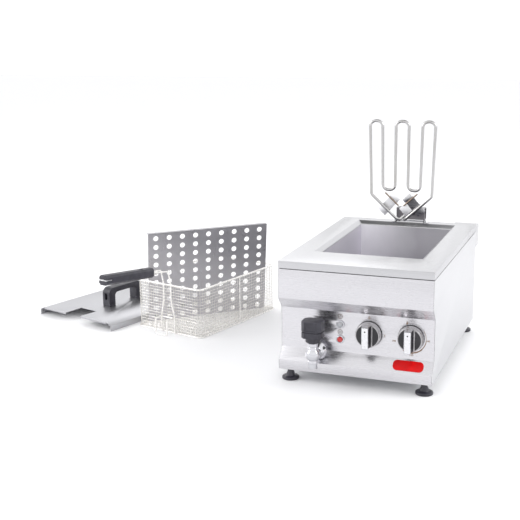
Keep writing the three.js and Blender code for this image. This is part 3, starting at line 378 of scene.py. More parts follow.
def glazed(name, colour):
    # glazed ceramic, a little speckled
    look = Look(name, colour, 0.3, 0.0, Coat_Weight=0.4)
    speckle = look.noise(800, 3)
    look.use(Base_Color=look.between(scaled(colour, 0.85), colour, speckle, 0.35, 0.65))
    look.bump(speckle, 0.00003, 0.5)
    return look.material


def printedInk(name, colour):
    # pad-printed ink, thinner in places
    look = Look(name, colour, 0.55)
    grain = look.noise(2200, 2)
    look.use(Base_Color=look.between(colour, scaled(colour, 1.3), grain, 0.35, 0.7))
    look.use(Roughness=look.range(grain, 0.3, 0.7, 0.45, 0.65))
    return look.material


def fadeAcross(node, axis, before, after, light, dim):
    # painted light and shade: a fade along the axis, from before to after the middle of the node, going from
    # the brightening factor to the darkening factor
    middle = boxMiddle(node).dot(Vector(axis))
    return axis, middle - before, middle + after, light, dim


# painted light and shade on the tank: colour brightened 1.85 times towards -X (its left wall) and darkened
# to 0.8 towards +X
tankFade = fadeAcross("tank", (1, 0, 0), 0.15, 0.06, 1.85, 0.8)
# painted light and painted reflection on the sieve plate: colour brightened 1.5 times towards its lower left
# and darkened to 0.72 towards its upper right, where it reflects the fryer's shaded side
sieveFade = fadeAcross("sieve_plate", (0.5, 0, 1), 0.16, 0.14, 1.5, 0.72)
finishes = {
    "hobSteel": brushedSheet("hobSteel", (0.56, 0.56, 0.575), 1, 0.3),
    "frontSteel": brushedSheet("frontSteel", (0.65, 0.642, 0.666), 1, 0.27),
    "sideSteel": brushedSheet("sideSteel", (0.68, 0.682, 0.695), 2, 0.4),
    "lidSteel": brushedSheet("lidSteel", (0.5, 0.5, 0.52), 2, 0.36, turn=-loosePieces["lidTurn"]),
    "smallSteel": brushedSheet("smallSteel", (0.6, 0.6, 0.61), 1, 0.25),
    "tankSteel": milledSheet("tankSteel", (0.41, 0.4, 0.43), 0.42, tankFade),
    # painted shade: steel of the element head darkened to 0.2, for the box in shadow at the rear of the tank
    "headSteel": milledSheet("headSteel", (0.2, 0.19, 0.2), 0.3),
    "sieveSteel": milledSheet("sieveSteel", (0.46, 0.45, 0.475), 0.3, sieveFade),
    # painted highlight: a near-white lit copy of the clip steel for the left clip and the vee plate; the
    # right clip keeps smallSteel
    "clipSteel": milledSheet("clipSteel", (0.93, 0.93, 0.94), 0.5),
    "chromePlate": platedMetal("chromePlate", (0.62, 0.62, 0.65), 0.06),
    "heaterSheath": sheathMetal("heaterSheath", (0.51, 0.505, 0.505), (0.45, 0.44, 0.425), 0.24),
    "frameWire": wireFinish("frameWire", (0.9, 0.885, 0.86), (0.8, 0.78, 0.75)),
    "meshWire": wireFinish("meshWire", (0.82, 0.8, 0.77), (0.66, 0.64, 0.6)),
    "blackPlastic": mouldedPlastic("blackPlastic", (0.012, 0.0115, 0.015), 0.36),
    "gripPlastic": mouldedPlastic("gripPlastic", (0.022, 0.021, 0.03), 0.42, 1.4),
    "footRubber": mouldedPlastic("footRubber", (0.024, 0.023, 0.032), 0.34),
    "turnedRing": turnedMetal("turnedRing", (0.45, 0.44, 0.45), 0.22),
    "pointerSilver": platedMetal("pointerSilver", (0.78, 0.78, 0.8), 0.22),
    "redEnamel": enamel("redEnamel", (0.66, 0.002, 0.003)),
    "badgeEdge": platedMetal("badgeEdge", (0.72, 0.76, 0.78), 0.2),
    "clearLens": lensPlastic("clearLens", (0.36, 0.36, 0.38)),
    "redLens": lensPlastic("redLens", (0.5, 0.008, 0.006)),
    "zinc": spangledZinc("zinc"),
    "wool": woolBlanket("wool"),
    "phenolic": mouldedPlastic("phenolic", (0.02, 0.018, 0.018), 0.35, 0.6),
    "steatite": glazed("steatite", (0.7, 0.67, 0.6)),
    "probeTube": platedMetal("probeTube", (0.3, 0.235, 0.19), 0.22),
    "brass": platedMetal("brass", (0.6, 0.46, 0.25), 0.2),
    "brownInk": printedInk("brownInk", (0.2, 0.125, 0.075)),
    "greyInk": printedInk("greyInk", (0.1, 0.075, 0.06)),
}
print("finishes ready:", len(finishes))


def nothingSelected():
    if bpy.context.object and bpy.context.object.mode != "OBJECT":
        bpy.ops.object.mode_set(mode="OBJECT")
    bpy.ops.object.select_all(action="DESELECT")


def takeUp(piece):
    nothingSelected()
    piece.select_set(True)
    bpy.context.view_layer.objects.active = piece


def applyModifiers(piece):
    takeUp(piece)
    for modifier in list(piece.modifiers):
        bpy.ops.object.modifier_apply(modifier=modifier.name)


def soften(piece, width, segments=2, angle=28):
    bevel = piece.modifiers.new("edges", "BEVEL")
    bevel.width = width * mm
    bevel.segments = segments
    bevel.limit_method = "ANGLE"
    bevel.angle_limit = math.radians(angle)
    bevel.harden_normals = False
    applyModifiers(piece)


def thicken(piece, thickness):
    sheet = piece.modifiers.new("sheet", "SOLIDIFY")
    sheet.thickness = thickness * mm
    sheet.offset = 1
    applyModifiers(piece)


def smooth(piece, angle=32):
    takeUp(piece)
    bpy.ops.object.shade_smooth_by_angle(angle=math.radians(angle))


def dress(piece, finish):
    piece.data.materials.clear()
    piece.data.materials.append(finishes[finish])


def settle(piece, matrix):
    # put the piece in place, with its place in its mesh
    takeUp(piece)
    piece.matrix_world = matrix @ piece.matrix_world
    bpy.ops.object.transform_apply(location=True, rotation=True, scale=True)


def finishPiece(piece, name, finish, body, stands=()):
    piece.name = name
    piece.data.name = name
    dress(piece, finish)
    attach(piece, body)
    if stands:
        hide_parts(*stands)
    return piece


def standIn(piece, name, finish, node):
    # the piece takes the place of one CAD node
    return finishPiece(piece, name, finish, bodyOfNode[node], [node])


def merged(name, pieces):
    nothingSelected()
    for piece in pieces:
        piece.select_set(True)
    bpy.context.view_layer.objects.active = pieces[0]
    if len(pieces) > 1:
        bpy.ops.object.join()
    pieces[0].name = name
    return pieces[0]


def copyOfNode(node, name):
    # a welded copy of a CAD node's mesh, its flat faces made whole again
    source = nodes[node]
    piece = bpy.data.objects.new(name, source.data.copy())
    bpy.context.scene.collection.objects.link(piece)
    takeUp(piece)
    bpy.ops.object.mode_set(mode="EDIT")
    bpy.ops.mesh.select_all(action="SELECT")
    bpy.ops.mesh.remove_doubles(threshold=0.00002)
    bpy.ops.mesh.dissolve_limited(angle_limit=math.radians(0.6))
    bpy.ops.object.mode_set(mode="OBJECT")
    return piece


def softenedNode(node, finish, width, segments=2, angle=28, smoothing=32):
    name = "".join(w.capitalize() if i else w for i, w in enumerate(node.split("_"))) + "Shape"
    piece = copyOfNode(node, name)
    soften(piece, width, segments, angle)
    smooth(piece, smoothing)
    return standIn(piece, name, finish, node)


def lathe(profile, steps=64, sweep=360):
    # spins a line of (radius, height) in millimetres round Z
    nothingSelected()
    bpy.ops.mesh.primitive_plane_add(size=0.001)
    piece = bpy.context.object
    bpy.ops.object.mode_set(mode="EDIT")
    bpy.ops.mesh.select_mode(type="VERT")
    bpy.ops.mesh.select_all(action="SELECT")
    bpy.ops.mesh.merge(type="CENTER")
    start = Vector((profile[0][0], 0, profile[0][1])) * mm
    bpy.ops.transform.translate(value=start)
    for (r0, z0), (r1, z1) in zip(profile, profile[1:]):
        step = point(r1 - r0, 0, z1 - z0)
        bpy.ops.mesh.extrude_region_move(TRANSFORM_OT_translate={"value": step})
    bpy.ops.mesh.select_all(action="SELECT")
    bpy.ops.mesh.spin(steps=steps, angle=math.radians(sweep), center=(0, 0, 0), axis=(0, 0, 1))
    bpy.ops.mesh.select_all(action="SELECT")
    bpy.ops.mesh.remove_doubles(threshold=0.000005)
    if sweep < 360:
        bpy.ops.mesh.select_all(action="SELECT")
        bpy.ops.mesh.fill_holes(sides=4)
        bpy.ops.mesh.select_all(action="SELECT")
    bpy.ops.mesh.normals_make_consistent(inside=False)
    bpy.ops.object.mode_set(mode="OBJECT")
    return piece


def arc(cx, cz, radius, start, end, count=6):
    # points of an arc for a lathe profile, angles in degrees
    angles = [math.radians(start + (end - start) * i / count) for i in range(count + 1)]
    return [(cx + radius * math.cos(a), cz + radius * math.sin(a)) for a in angles]


def roundedPath(corners, radius, steps=8, closed=False):
    # the line of corners, each bent with the given radius
    if closed:
        loop = [corners[-1], *corners, corners[0]]
    else:
        loop = corners
    points = [] if closed else [corners[0]]
    for before, corner, after in zip(loop, loop[1:], loop[2:]):
        back, ahead = (before - corner).normalized(), (after - corner).normalized()
        half = back.angle(ahead) / 2
        reach = radius / math.tan(half)
        centre = corner + (back + ahead).normalized() * (radius / math.sin(half))
        start, end = corner + back * reach - centre, corner + ahead * reach - centre
        axis = start.cross(end).normalized()
        sweep = start.angle(end)
        points += [centre + Matrix.Rotation(sweep * k / steps, 3, axis) @ start for k in range(steps + 1)]
    return points if closed else points + [corners[-1]]


def tubes(name, lines, radius, matrix, sides=8, closed=False):
    # round wires along lines of points in millimetres
    curve = bpy.data.curves.new(name, "CURVE")
    curve.dimensions = "3D"
    curve.bevel_depth = radius * mm
    curve.bevel_resolution = (sides - 4) // 2
    curve.use_fill_caps = not closed
    for line in lines:
        spline = curve.splines.new("POLY")
        spline.points.add(len(line) - 1)
        spline.use_cyclic_u = closed
        for target, place in zip(spline.points, line):
            target.co = (*(matrix @ (place * mm)), 1)
    piece = bpy.data.objects.new(name, curve)
    bpy.context.scene.collection.objects.link(piece)
    takeUp(piece)
    bpy.ops.object.convert(target="MESH")
    piece = bpy.context.object
    bpy.ops.object.mode_set(mode="EDIT")
    bpy.ops.mesh.select_all(action="SELECT")
    bpy.ops.mesh.remove_doubles(threshold=0.000001)
    bpy.ops.mesh.normals_make_consistent(inside=False)
    bpy.ops.object.mode_set(mode="OBJECT")
    smooth(piece, 50)
    return piece


towardsFront = Matrix.Rotation(math.radians(90), 4, "X")   # a piece made along +Z then points to -Y


# Each sheet or moulding keeps its shape and gets rounded edges: finish, radius in mm, segments.
sheetWork = {
    "hob_top": ("hobSteel", 1.1, 3), "left_side_panel": ("sideSteel", 0.35, 2),
    "right_side_panel": ("sideSteel", 0.35, 2), "front_panel": ("frontSteel", 0.55, 3),
    "back_panel": ("zinc", 0.3, 1), "base_plate": ("zinc", 0.3, 1), "tank": ("tankSteel", 0.5, 2),
    "tank_support_front": ("zinc", 0.6, 2), "tank_support_rear": ("zinc", 0.6, 2),
    # element_head takes steel darkened as painted shade
    "rear_spacer": ("smallSteel", 0.8, 2), "element_head": ("headSteel", 0.5, 2),
    "hinge_bracket_left": ("smallSteel", 0.4, 2), "hinge_bracket_right": ("smallSteel", 0.4, 2),
    # bulb_clip_left and element_vee_plate take the near-white clip steel, a painted highlight;
    # bulb_clip_right keeps smallSteel
    "bulb_clip_left": ("clipSteel", 0.4, 2), "bulb_clip_right": ("smallSteel", 0.4, 2),
    "element_vee_plate": ("clipSteel", 0.4, 2), "lid": ("lidSteel", 0.5, 3),
    "basket_grip_strip": ("smallSteel", 0.4, 2),
}

mouldedWork = {
    "cable_gland": ("phenolic", 0.5, 2), "safety_thermostat": ("phenolic", 0.8, 2),
    "rotary_switch": ("phenolic", 0.8, 2), "control_thermostat": ("phenolic", 0.8, 2),
    "tap_grip": ("gripPlastic", 1.6, 4), "basket_grip": ("gripPlastic", 1.8, 4),
    "lid_handle": ("gripPlastic", 2.2, 4), "terminal_block": ("steatite", 0.8, 3),
    "tank_insulation": ("wool", 3, 3),
    "tap_ball": ("chromePlate", 0.3, 2), "drain_pipe": ("tankSteel", 0.3, 1),
    "hinge_pin": ("chromePlate", 0.4, 2), "reset_button": ("redLens", 0.4, 2),
    "lid_screw_front": ("zinc", 0.3, 2), "lid_screw_rear": ("zinc", 0.3, 2),
    "switch_spindle": ("zinc", 0.3, 1), "thermostat_spindle": ("zinc", 0.3, 1),
}

for work in (sheetWork, mouldedWork):
    for node, (finish, width, segments) in work.items():
        softenedNode(node, finish, width, segments)
print("sheets and mouldings softened")


footShape = {"stem": 8, "stud": 4, "top": 62, "neck": 33.4}


def makeFoot(corner):
    f = footShape
    node = f"foot_{corner}"
    profile = [
        (0, 0.9), (16, 0.9), (17, 0), (20.4, 0), *arc(20.5, 2, 2, -90, 0, 5), (22.5, 4.6),
        *arc(20.3, 4.8, 2.2, 0, 75, 5), (17, 8.4), (15.6, 8.9), *arc(14.5, 12.2, 3.4, 250, 185, 4),
        (10.6, 15), (9.2, 18), (f["stem"], 21), (f["stem"], f["neck"] - 0.4), (f["stem"] - 0.4, f["neck"]),
        (f["stud"], f["neck"]), (f["stud"], f["top"] - 1), (f["stud"] - 1, f["top"]), (0, f["top"]),
    ]
    piece = lathe(profile, 48)
    settle(piece, placement((*boxMiddle(node).xy, 0)))
    smooth(piece, 40)
    side = "".join(w.capitalize() for w in corner.split("_"))
    standIn(piece, f"foot{side}Shape", "footRubber", node)


for corner in ("front_left", "front_right", "rear_left", "rear_right"):
    makeFoot(corner)


badgeShape = {"rim": 2.2, "raise": 0.3, "edge": 0.25}


def makeBadge():
    # a plain red field inside a bright rim
    rim = copyOfNode("badge_plate", "badgeRim")
    front = max(rim.data.polygons, key=lambda face: face.area * (face.normal.y < 0))
    for face in rim.data.polygons:
        face.select = face.index == front.index
    bpy.ops.object.mode_set(mode="EDIT")
    bpy.ops.mesh.select_mode(type="FACE")
    bpy.ops.mesh.inset(thickness=badgeShape["rim"] * mm)
    bpy.ops.mesh.duplicate()
    bpy.ops.mesh.separate(type="SELECTED")
    bpy.ops.object.mode_set(mode="OBJECT")
    field = next(o for o in bpy.context.selected_objects if o != rim)
    takeUp(field)
    thicken(field, badgeShape["raise"])
    soften(rim, badgeShape["edge"], 2)
    soften(field, badgeShape["edge"] / 2, 2)
    smooth(rim)
    standIn(rim, "badgeRim", "badgeEdge", "badge_plate")
    smooth(field)
    finishPiece(field, "badgeField", "redEnamel", "fryer")


makeBadge()


knobShape = {
    "height": 142, "panel": -276, "rim": 33.4, "ring": 32.6, "ringFront": 31, "back": 0.8, "face": 18.4,
    "segment": 28.6, "segmentHeight": 2.2, "channel": 13.2, "barTop": 18.4, "barBase": 23, "barLength": 57,
    "barHeight": 24, "inlay": 17.2,
}


def segmentPlate(side):
    # one of the two raised half-moon pads of the dial
    k = knobShape
    nothingSelected()
    bpy.ops.mesh.primitive_circle_add(
        vertices=96, radius=k["segment"] * mm, fill_type="NGON", location=(0, 0, k["face"] * mm))
    piece = bpy.context.object
    bpy.ops.object.mode_set(mode="EDIT")
    bpy.ops.mesh.bisect(plane_co=(side * k["channel"] * mm, 0, 0), plane_no=(side, 0, 0),
                        use_fill=False, clear_inner=True)
    bpy.ops.mesh.select_all(action="SELECT")
    bpy.ops.mesh.extrude_region_move(TRANSFORM_OT_translate={"value": (0, 0, k["segmentHeight"] * mm)})
    bpy.ops.mesh.select_all(action="SELECT")
    bpy.ops.mesh.normals_make_consistent(inside=False)
    bpy.ops.object.mode_set(mode="OBJECT")
    soften(piece, 0.7, 3, 40)
    return piece


def roundedBar(width, length, corner, low, high, taper=1.0):
    # a bar with rounded upright edges, its top narrowed by the taper
    nothingSelected()
    bpy.ops.mesh.primitive_cube_add(size=1, location=(0, 0, low * mm))
    bar = bpy.context.object
    bar.scale = (width * mm, length * mm, 0.0002)
    bpy.ops.object.transform_apply(location=True, rotation=True, scale=True)
    bpy.ops.object.mode_set(mode="EDIT")
    bpy.ops.mesh.select_all(action="DESELECT")
    bpy.ops.object.mode_set(mode="OBJECT")
    for edge in bar.data.edges:
        a, b = (bar.data.vertices[i].co for i in edge.vertices)
        edge.select = abs(a.x - b.x) < 1e-6 and abs(a.y - b.y) < 1e-6
    bpy.ops.object.mode_set(mode="EDIT")
    bpy.ops.mesh.select_mode(type="EDGE")
    bpy.ops.mesh.bevel(offset=corner * mm, segments=8)
    bpy.ops.mesh.select_all(action="DESELECT")
    bpy.ops.object.mode_set(mode="OBJECT")
    for face in bar.data.polygons:
        face.select = face.normal.z > 0.9
    bpy.ops.object.mode_set(mode="EDIT")
    bpy.ops.mesh.select_mode(type="FACE")
    bpy.ops.transform.translate(value=(0, 0, (high - low) * mm))
    bpy.ops.transform.resize(value=(taper, 1, 1))
    bpy.ops.object.mode_set(mode="OBJECT")
    return bar


def makeKnob(prefix, x):
    k = knobShape
    seat = fryerFrame @ Matrix.Translation(point(x, k["panel"], k["height"])) @ towardsFront
    back, face = k["back"], k["face"]
    rim, ringFront, barTop = k["rim"], k["ringFront"], face + k["barHeight"]
    taper = k["barTop"] / k["barBase"]
    core = lathe([
        (0, back), (rim - 0.5, back), (rim, back + 0.5), (rim, back + 1.1), (rim - 0.5, back + 1.6),
        (29, back + 1.6), (29, face - 0.2), (30.2, face - 0.2), (30.5, face + 0.1), (30.2, face + 0.5),
        (0, face + 0.5),
    ], 96)
    bar = roundedBar(k["barBase"], k["barLength"], 3, face - 1, barTop, taper)
    soften(bar, 0.9, 3, 40)
    core = merged("core", [core, segmentPlate(-1), segmentPlate(1), bar])
    ring = lathe([
        (29.3, back + 2), (k["ring"] - 0.4, back + 2), (k["ring"], back + 2.5), (k["ring"], back + 4.5),
        (ringFront + 0.3, face - 1.3), *arc(ringFront - 0.6, face - 1.2, 0.9, 5, 90, 4), (29.3, face - 0.3),
        (29.3, back + 2),
    ], 96)
    inlay = roundedBar(k["inlay"], k["barLength"] - 1.2, 1.8, barTop + 0.05, barTop + 1.15, 0.97)
    soften(inlay, 0.3, 2, 40)
    endCap = roundedBar(k["barBase"] - 1.5, 0.6, 0.25, face + 0.7, barTop + 0.6, taper)
    settle(endCap, Matrix.Translation(point(0, k["barLength"] / 2 + 0.36, 0)))
    dot = lathe([(0, 0), (1.9, 0), (1.9, 0.12), (1.5, 0.18), (0, 0.18)], 24)
    settle(dot, Matrix.Translation(point(0, k["barLength"] / 2 - 11, barTop + 1.15)))
    plate = lathe([
        (0, face + 0.55), (30.4, face + 0.55), (30.4, face + 0.8), (30.0, face + 0.95), (0, face + 0.95),
    ], 96)
    knob = f"{prefix}_knob"
    for piece, part, finish, slot, stands in (
        (core, "KnobBody", "blackPlastic", "black_plastic", [knob]),
        (ring, "KnobRing", "turnedRing", "dark_ring", [f"{knob}_ring"]),
        (inlay, "KnobPointer", "pointerSilver", "pointer", [f"{knob}_pointer"]),
        (dot, "KnobDot", "blackPlastic", "black_plastic", []),
        (plate, "KnobFacePlate", "turnedRing", "dark_ring", []),
        (endCap, "KnobEndCap", "turnedRing", "dark_ring", []),
    ):
        settle(piece, seat)
        smooth(piece, 35)
        finishPiece(piece, prefix + part, finish, bodyOfNode[knob], stands)


controls = {"switch": 33.5, "thermostat": 140.5}
for prefix, x in controls.items():
    makeKnob(prefix, x)
print("knobs made")


lampShape = {"x": -42, "panel": -276, "bezel": 10.8, "barrel": 6, "depth": 26}


def makeLamp(prefix, finish):
    s = lampShape
    z = boxMiddle(f"{prefix}_lamp_body").z / mm
    seat = fryerFrame @ Matrix.Translation(point(s["x"], s["panel"], z)) @ towardsFront
    depth, barrel, edge = s["depth"], s["barrel"], s["bezel"]
    bezel = lathe([
        (0, -depth), (barrel, -depth), (barrel, 0.3), (edge - 0.3, 0.3), (edge, 0.7),
        *arc(edge - 1.4, 1.6, 1.4, 0, 90, 6), (8.3, 2.9), (7.9, 2.3), (7.8, 1.2), (0, 1.2),
    ], 64)
    lens = lathe([(0, 1.5), (7.2, 1.5), (7.4, 1.8), *arc(1.2, 1.9, 6.2, 0, 78, 8), (0, 8.1)], 64)
    for piece, part, look in ((bezel, "body", "chromePlate"), (lens, "lens", finish)):
        node = f"{prefix}_lamp_{part}"
        settle(piece, seat)
        smooth(piece, 35)
        standIn(piece, f"{prefix}Lamp{part.capitalize()}", look, node)


makeLamp("power", "clearLens")
makeLamp("heating", "redLens")


# Marks printed on the control face, with plain numbers.
marks = {
    "panel": -276, "z": 142, "proud": 0.12, "lift": 0.02, "bold": 0.22, "digit": 10, "small": 6.6,
    # text, size, name, dial, sideways and upward from the middle of the dial
    "numbers": [
        ("0", "digit", "switchMarkOff", "switch", 0, 41.5), ("1", "digit", "switchMarkOn", "switch", 40, -2),
        ("60", "small", "thermostatMarkLow", "thermostat", 43.5, -4),
        ("120", "small", "thermostatMarkMiddle", "thermostat", 1, -44.5),
        ("190", "small", "thermostatMarkHigh", "thermostat", -43.5, -12),
    ],
    # the heating scale: inner and first outer radius, growth, start and sweep of each of its steps
    "scale": {"inner": 36.8, "outer": 38, "growth": 0.95, "start": 16, "sweep": 39, "steps": 4},
    "thermometer": (-11, 36), "powerZ": 180.7, "heatZ": 139.6, "iconRing": (5.2, 6.6),
}


def printed(piece, name, x, z, finish="brownInk"):
    m = marks
    settle(piece, fryerFrame @ Matrix.Translation(point(x, m["panel"], z)) @ towardsFront)
    return finishPiece(piece, name, finish, "fryer")


def digits(text, size):
    nothingSelected()
    bpy.ops.object.text_add(location=(0, 0, 0))
    label = bpy.context.object
    label.data.body = text
    label.data.size = size * mm
    label.data.align_x = "CENTER"
    label.data.align_y = "CENTER"
    label.data.extrude = marks["proud"] / 2 * mm
    label.data.offset = marks["bold"] * mm
    label.data.resolution_u = 4
    bpy.ops.object.convert(target="MESH")
    label = bpy.context.object
    settle(label, Matrix.Translation(point(0, 0, marks["proud"] / 2 + marks["lift"])))
    return label


def printedArc(inner, outer, start, end):
    # a flat arc, its angles clockwise from the top
    low, high = marks["lift"], marks["lift"] + marks["proud"]
    profile = [(inner, low), (outer, low), (outer, high), (inner, high), (inner, low)]
    piece = lathe(profile, max(8, round((end - start) / 7)), end - start)
    settle(piece, Matrix.Rotation(math.radians(90 - end), 4, "Z"))
    return piece


def flatBar(width, height, x=0, z=0):
    bar = roundedBar(width, height, min(width, height) * 0.3, marks["lift"], marks["lift"] + marks["proud"])
    settle(bar, Matrix.Translation(point(x, z, 0)))
    return bar


def makeMarks():
    m, scale, ring = marks, marks["scale"], marks["iconRing"]
    for text, size, name, dial, dx, dz in m["numbers"]:
        printed(digits(text, m[size]), name, controls[dial] + dx, m["z"] + dz)
    swelling = []
    for k in range(scale["steps"]):
        start = scale["start"] + scale["sweep"] * k
        outer = scale["outer"] + scale["growth"] * k
        swelling.append(printedArc(scale["inner"], outer, start, start + scale["sweep"]))
    printed(merged("swelling", swelling), "thermostatArc", controls["thermostat"], m["z"])
    thermometer = merged("thermometer", [
        flatBar(2.2, 8, 0, 2), printedArc(0.6, 2.2, 0, 360), flatBar(3, 0.7, 4, 4), flatBar(3, 0.7, 4, 1.5)])
    dx, dz = m["thermometer"]
    printed(thermometer, "thermometerMark", controls["thermostat"] + dx, m["z"] + dz)
    power = merged("power", [
        printedArc(*ring, 0, 360), printedArc(1.7, 3.0, 35, 325), flatBar(1.2, 3.4, 0, 2.4)])
    printed(power, "powerMark", lampShape["x"], m["powerZ"], "greyInk")
    heat = merged("heat", [printedArc(*ring, 0, 360), *[flatBar(1.1, 5.6, dx, 0) for dx in (-2.4, 0, 2.4)]])
    printed(heat, "heatMark", lampShape["x"], m["heatZ"], "greyInk")


makeMarks()
print("lamps and marks made")


tapShape = {
    "x": -97, "y": -330, "z": 91, "ball": 18.7, "neck": 12.6, "neckTop": 31, "spout": 11.3, "drop": 36.5,
    "bell": 25, "inlet": 13.2, "rim": 35, "end": 57.2, "bore": 7,
}


def makeTap():
    t = tapShape
    seat = fryerFrame @ Matrix.Translation(point(t["x"], t["y"], t["z"]))
    bottom, bore, spout, neck, neckTop = -t["drop"], t["bore"], t["spout"], t["neck"], t["neckTop"]
    upright = lathe([
        (bore, bottom + 4), (bore, bottom), (spout - 1.2, bottom), *arc(spout - 1, bottom + 1, 1, -90, 0, 3),
        (spout, -23), (spout + 1.2, -22), (spout + 1.2, -19), (spout + 0.4, -16.6),
        *arc(0, 0, t["ball"], -52, 46, 22), (neck, 15.5), (neck, 19), (neck - 0.8, 20), (neck - 0.8, 22),
        (neck, 23), (neck, neckTop - 0.8), (neck - 0.8, neckTop), (4.6, neckTop), (4.6, 20), (0, 20),
    ], 72)
    floor = lathe([(0, bottom + 4), (bore, bottom + 4)], 72)
    backwards = Matrix.Rotation(math.radians(-90), 4, "X")
    pipe, bell, rim, end = t["inlet"], t["bell"], t["rim"], t["end"]
    inlet = lathe([
        (0, 12), (pipe - 0.6, 12), (pipe, 13.5), (pipe + 0.3, 17.5), (pipe + 1.6, 19.5), (pipe + 4.4, 23.2),
        (pipe + 8, 27), (bell - 1.6, rim - 3.6), *arc(bell - 1.4, rim - 2, 1.4, 10, 90, 4),
        (pipe + 0.4, rim - 0.4), (pipe, rim), (pipe, end), (0, end),
    ], 72)
    settle(inlet, backwards)
    nut = lathe([(0, 14.5), (15.2, 14.5), (15.8, 15.1), (15.8, 18.4), (15.2, 19), (0, 19)], 6)
    settle(nut, backwards)
    soften(nut, 0.5, 2, 20)
    piece = merged("tap", [upright, floor, inlet, nut])
    settle(piece, seat)
    smooth(piece, 35)
    standIn(piece, "tapBodyShape", "chromePlate", "tap_body")


makeTap()


heaterShape = {
    "x": 10, "y": 150, "tube": 4.24, "riser": 348, "split": 7, "bendZ": 421, "bendHalf": 87, "topZ": 630,
    "topHalf": (93, 57.1, 18.4), "lowHalf": (87, 53.6, 18.3), "lowZ": 435.5, "bend": 16, "tubeEnd": 286.9,
}


def makeHeater():
    h = heaterShape
    top, low = h["topHalf"], h["lowHalf"]
    y, topZ, lowZ = h["y"], h["topZ"], h["lowZ"]
    split, riser = -h["split"], h["riser"]
    left = [
        (split, h["tubeEnd"], riser), (split, y, riser), (-h["bendHalf"], y, h["bendZ"]),
        (-top[0], y, topZ), (-top[1], y, topZ), (-low[1], y, lowZ), (-low[2], y, lowZ), (-top[2], y, topZ),
    ]
    corners = [Vector(p) for p in left] + [Vector((-x, y, z)) for x, y, z in reversed(left)]
    corners = [c + Vector((h["x"], 0, 0)) for c in corners]
    piece = tubes("heaterTube", [roundedPath(corners, h["bend"], 14)], h["tube"], fryerFrame, 20)
    standIn(piece, "heaterTube", "heaterSheath", "heating_element")


def makeProbe(node, name):
    low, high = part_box(node)
    middle = boxMiddle(node)
    slopesLeft = node == "thermostat_bulb"
    radius = (high.y - low.y) / 2 / mm
    inset = radius * 0.7 * mm
    xs = (low.x + inset, high.x - inset) if slopesLeft else (high.x - inset, low.x + inset)
    ends = [Vector((xs[0], middle.y, high.z - inset)) / mm, Vector((xs[1], middle.y, low.z + inset)) / mm]
    piece = tubes(name, [ends], radius, Matrix.Identity(4), 16)
    standIn(piece, name, "probeTube", node)


makeHeater()
makeProbe("thermostat_bulb", "thermostatBulbShape")
makeProbe("limiter_bulb", "limiterBulbShape")


def makeStuds():
    # brass studs with nuts on the terminal block
    low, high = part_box("terminal_block")
    count, top = 4, 6.8
    studs = []
    for i in range(count):
        x = low.x + (high.x - low.x) * (i + 0.5) / count
        z = low.z + (high.z - low.z) * (0.33 if i % 2 else 0.68)
        washer = lathe([(0, 0), (3.6, 0), (3.6, 0.8), (0, 0.8)], 20)
        nut = lathe([(0, 0.8), (3.1, 0.8), (3.1, 3.2), (0, 3.2)], 6)
        soften(nut, 0.25, 2, 20)
        stud = lathe([(0, 3.2), (1.5, 3.2), (1.5, top), (1.2, top + 0.4), (0, top + 0.4)], 16)
        screw = merged("stud", [washer, nut, stud])
        settle(screw, Matrix.Translation((x, low.y, z)) @ towardsFront)
        studs.append(screw)
    piece = merged("studs", studs)
    smooth(piece, 30)
    finishPiece(piece, "terminalStuds", "brass", "element")


makeStuds()
print("tap and element made")


basketShape = {
    "width": 246, "length": 378, "height": 149, "corner": 16, "mesh": 1.2, "meshLow": 0.6, "rim": 2.6,
    "frame": 2, "stiffener": 2, "pitch": 9, "wire": 0.6, "crimp": 0.33, "gap": 0.3,
}
handleShape = {
    "shift": 4, "wire": 2.2, "low": 25, "high": 14, "spreadZ": 52, "narrowZ": 100, "hookHalf": 22,
    "hookTop": 50, "hookOut": 30, "shoulderOut": 10, "shoulderZ": 193, "bend": 6, "gripStart": 78,
    "gripZ": 201.5, "wireHalf": 8, "grasp": 24, "gripRise": 19, "gripLength": 193,
}


def rectPath(halfX, halfY, z, corner, steps=6):
    corners = [Vector((x * halfX, y * halfY, z)) for x, y in ((-1, -1), (1, -1), (1, 1), (-1, 1))]
    return roundedPath(corners, corner, steps, closed=True)


def evenPoints(loop, count):
    # points spaced evenly round a closed loop, with the outward direction at each
    lengths = [(b - a).length for a, b in zip(loop, loop[1:] + loop[:1])]
    total = sum(lengths)
    spots, index, gone = [], 0, 0.0
    for i in range(count):
        goal = total * i / count
        while gone + lengths[index] < goal:
            gone += lengths[index]
            index += 1
        a, b = loop[index], loop[(index + 1) % len(loop)]
        along = (b - a).normalized()
        spots.append((a + along * (goal - gone), Vector((along.y, -along.x, 0))))
    return spots


def crimped(spot, outward, turn, z):
    # a wire passes outside at each even crossing and inside at each odd one
    sign = 1 if turn % 2 else -1
    return spot + outward * basketShape["crimp"] * sign + Vector((0, 0, z))


def makeWeave():
    b = basketShape
    wall = rectPath(b["width"] / 2 - b["mesh"], b["length"] / 2 - b["mesh"], 0, b["corner"] - b["mesh"])
    around = 2 * (b["width"] + b["length"]) - 24
    count = 2 * round(around / b["pitch"] / 2)
    rows = round((b["height"] - 3 * b["rim"]) / b["pitch"])
    low, high = b["meshLow"] + b["wire"], b["height"] - 2.4 * b["rim"]
    levels = [low + (high - low) * j / rows for j in range(rows + 1)]
    spots = evenPoints(wall, count)
    uprights = [[crimped(spot, outward, i + j, z) for j, z in enumerate(levels)]
                for i, (spot, outward) in enumerate(spots)]
    rings = [[crimped(spot, outward, i + j + 1, z) for i, (spot, outward) in enumerate(spots)]
             for j, z in enumerate(levels)]
    upright = tubes("weave", uprights, b["wire"], basketFrame, 6)
    ring = tubes("weaveRings", rings, b["wire"], basketFrame, 6, closed=True)
    floor = makeFloorWeave(low)
    piece = merged("weave", [upright, ring, floor])
    standIn(piece, "basketWeave", "meshWire", "basket_mesh")


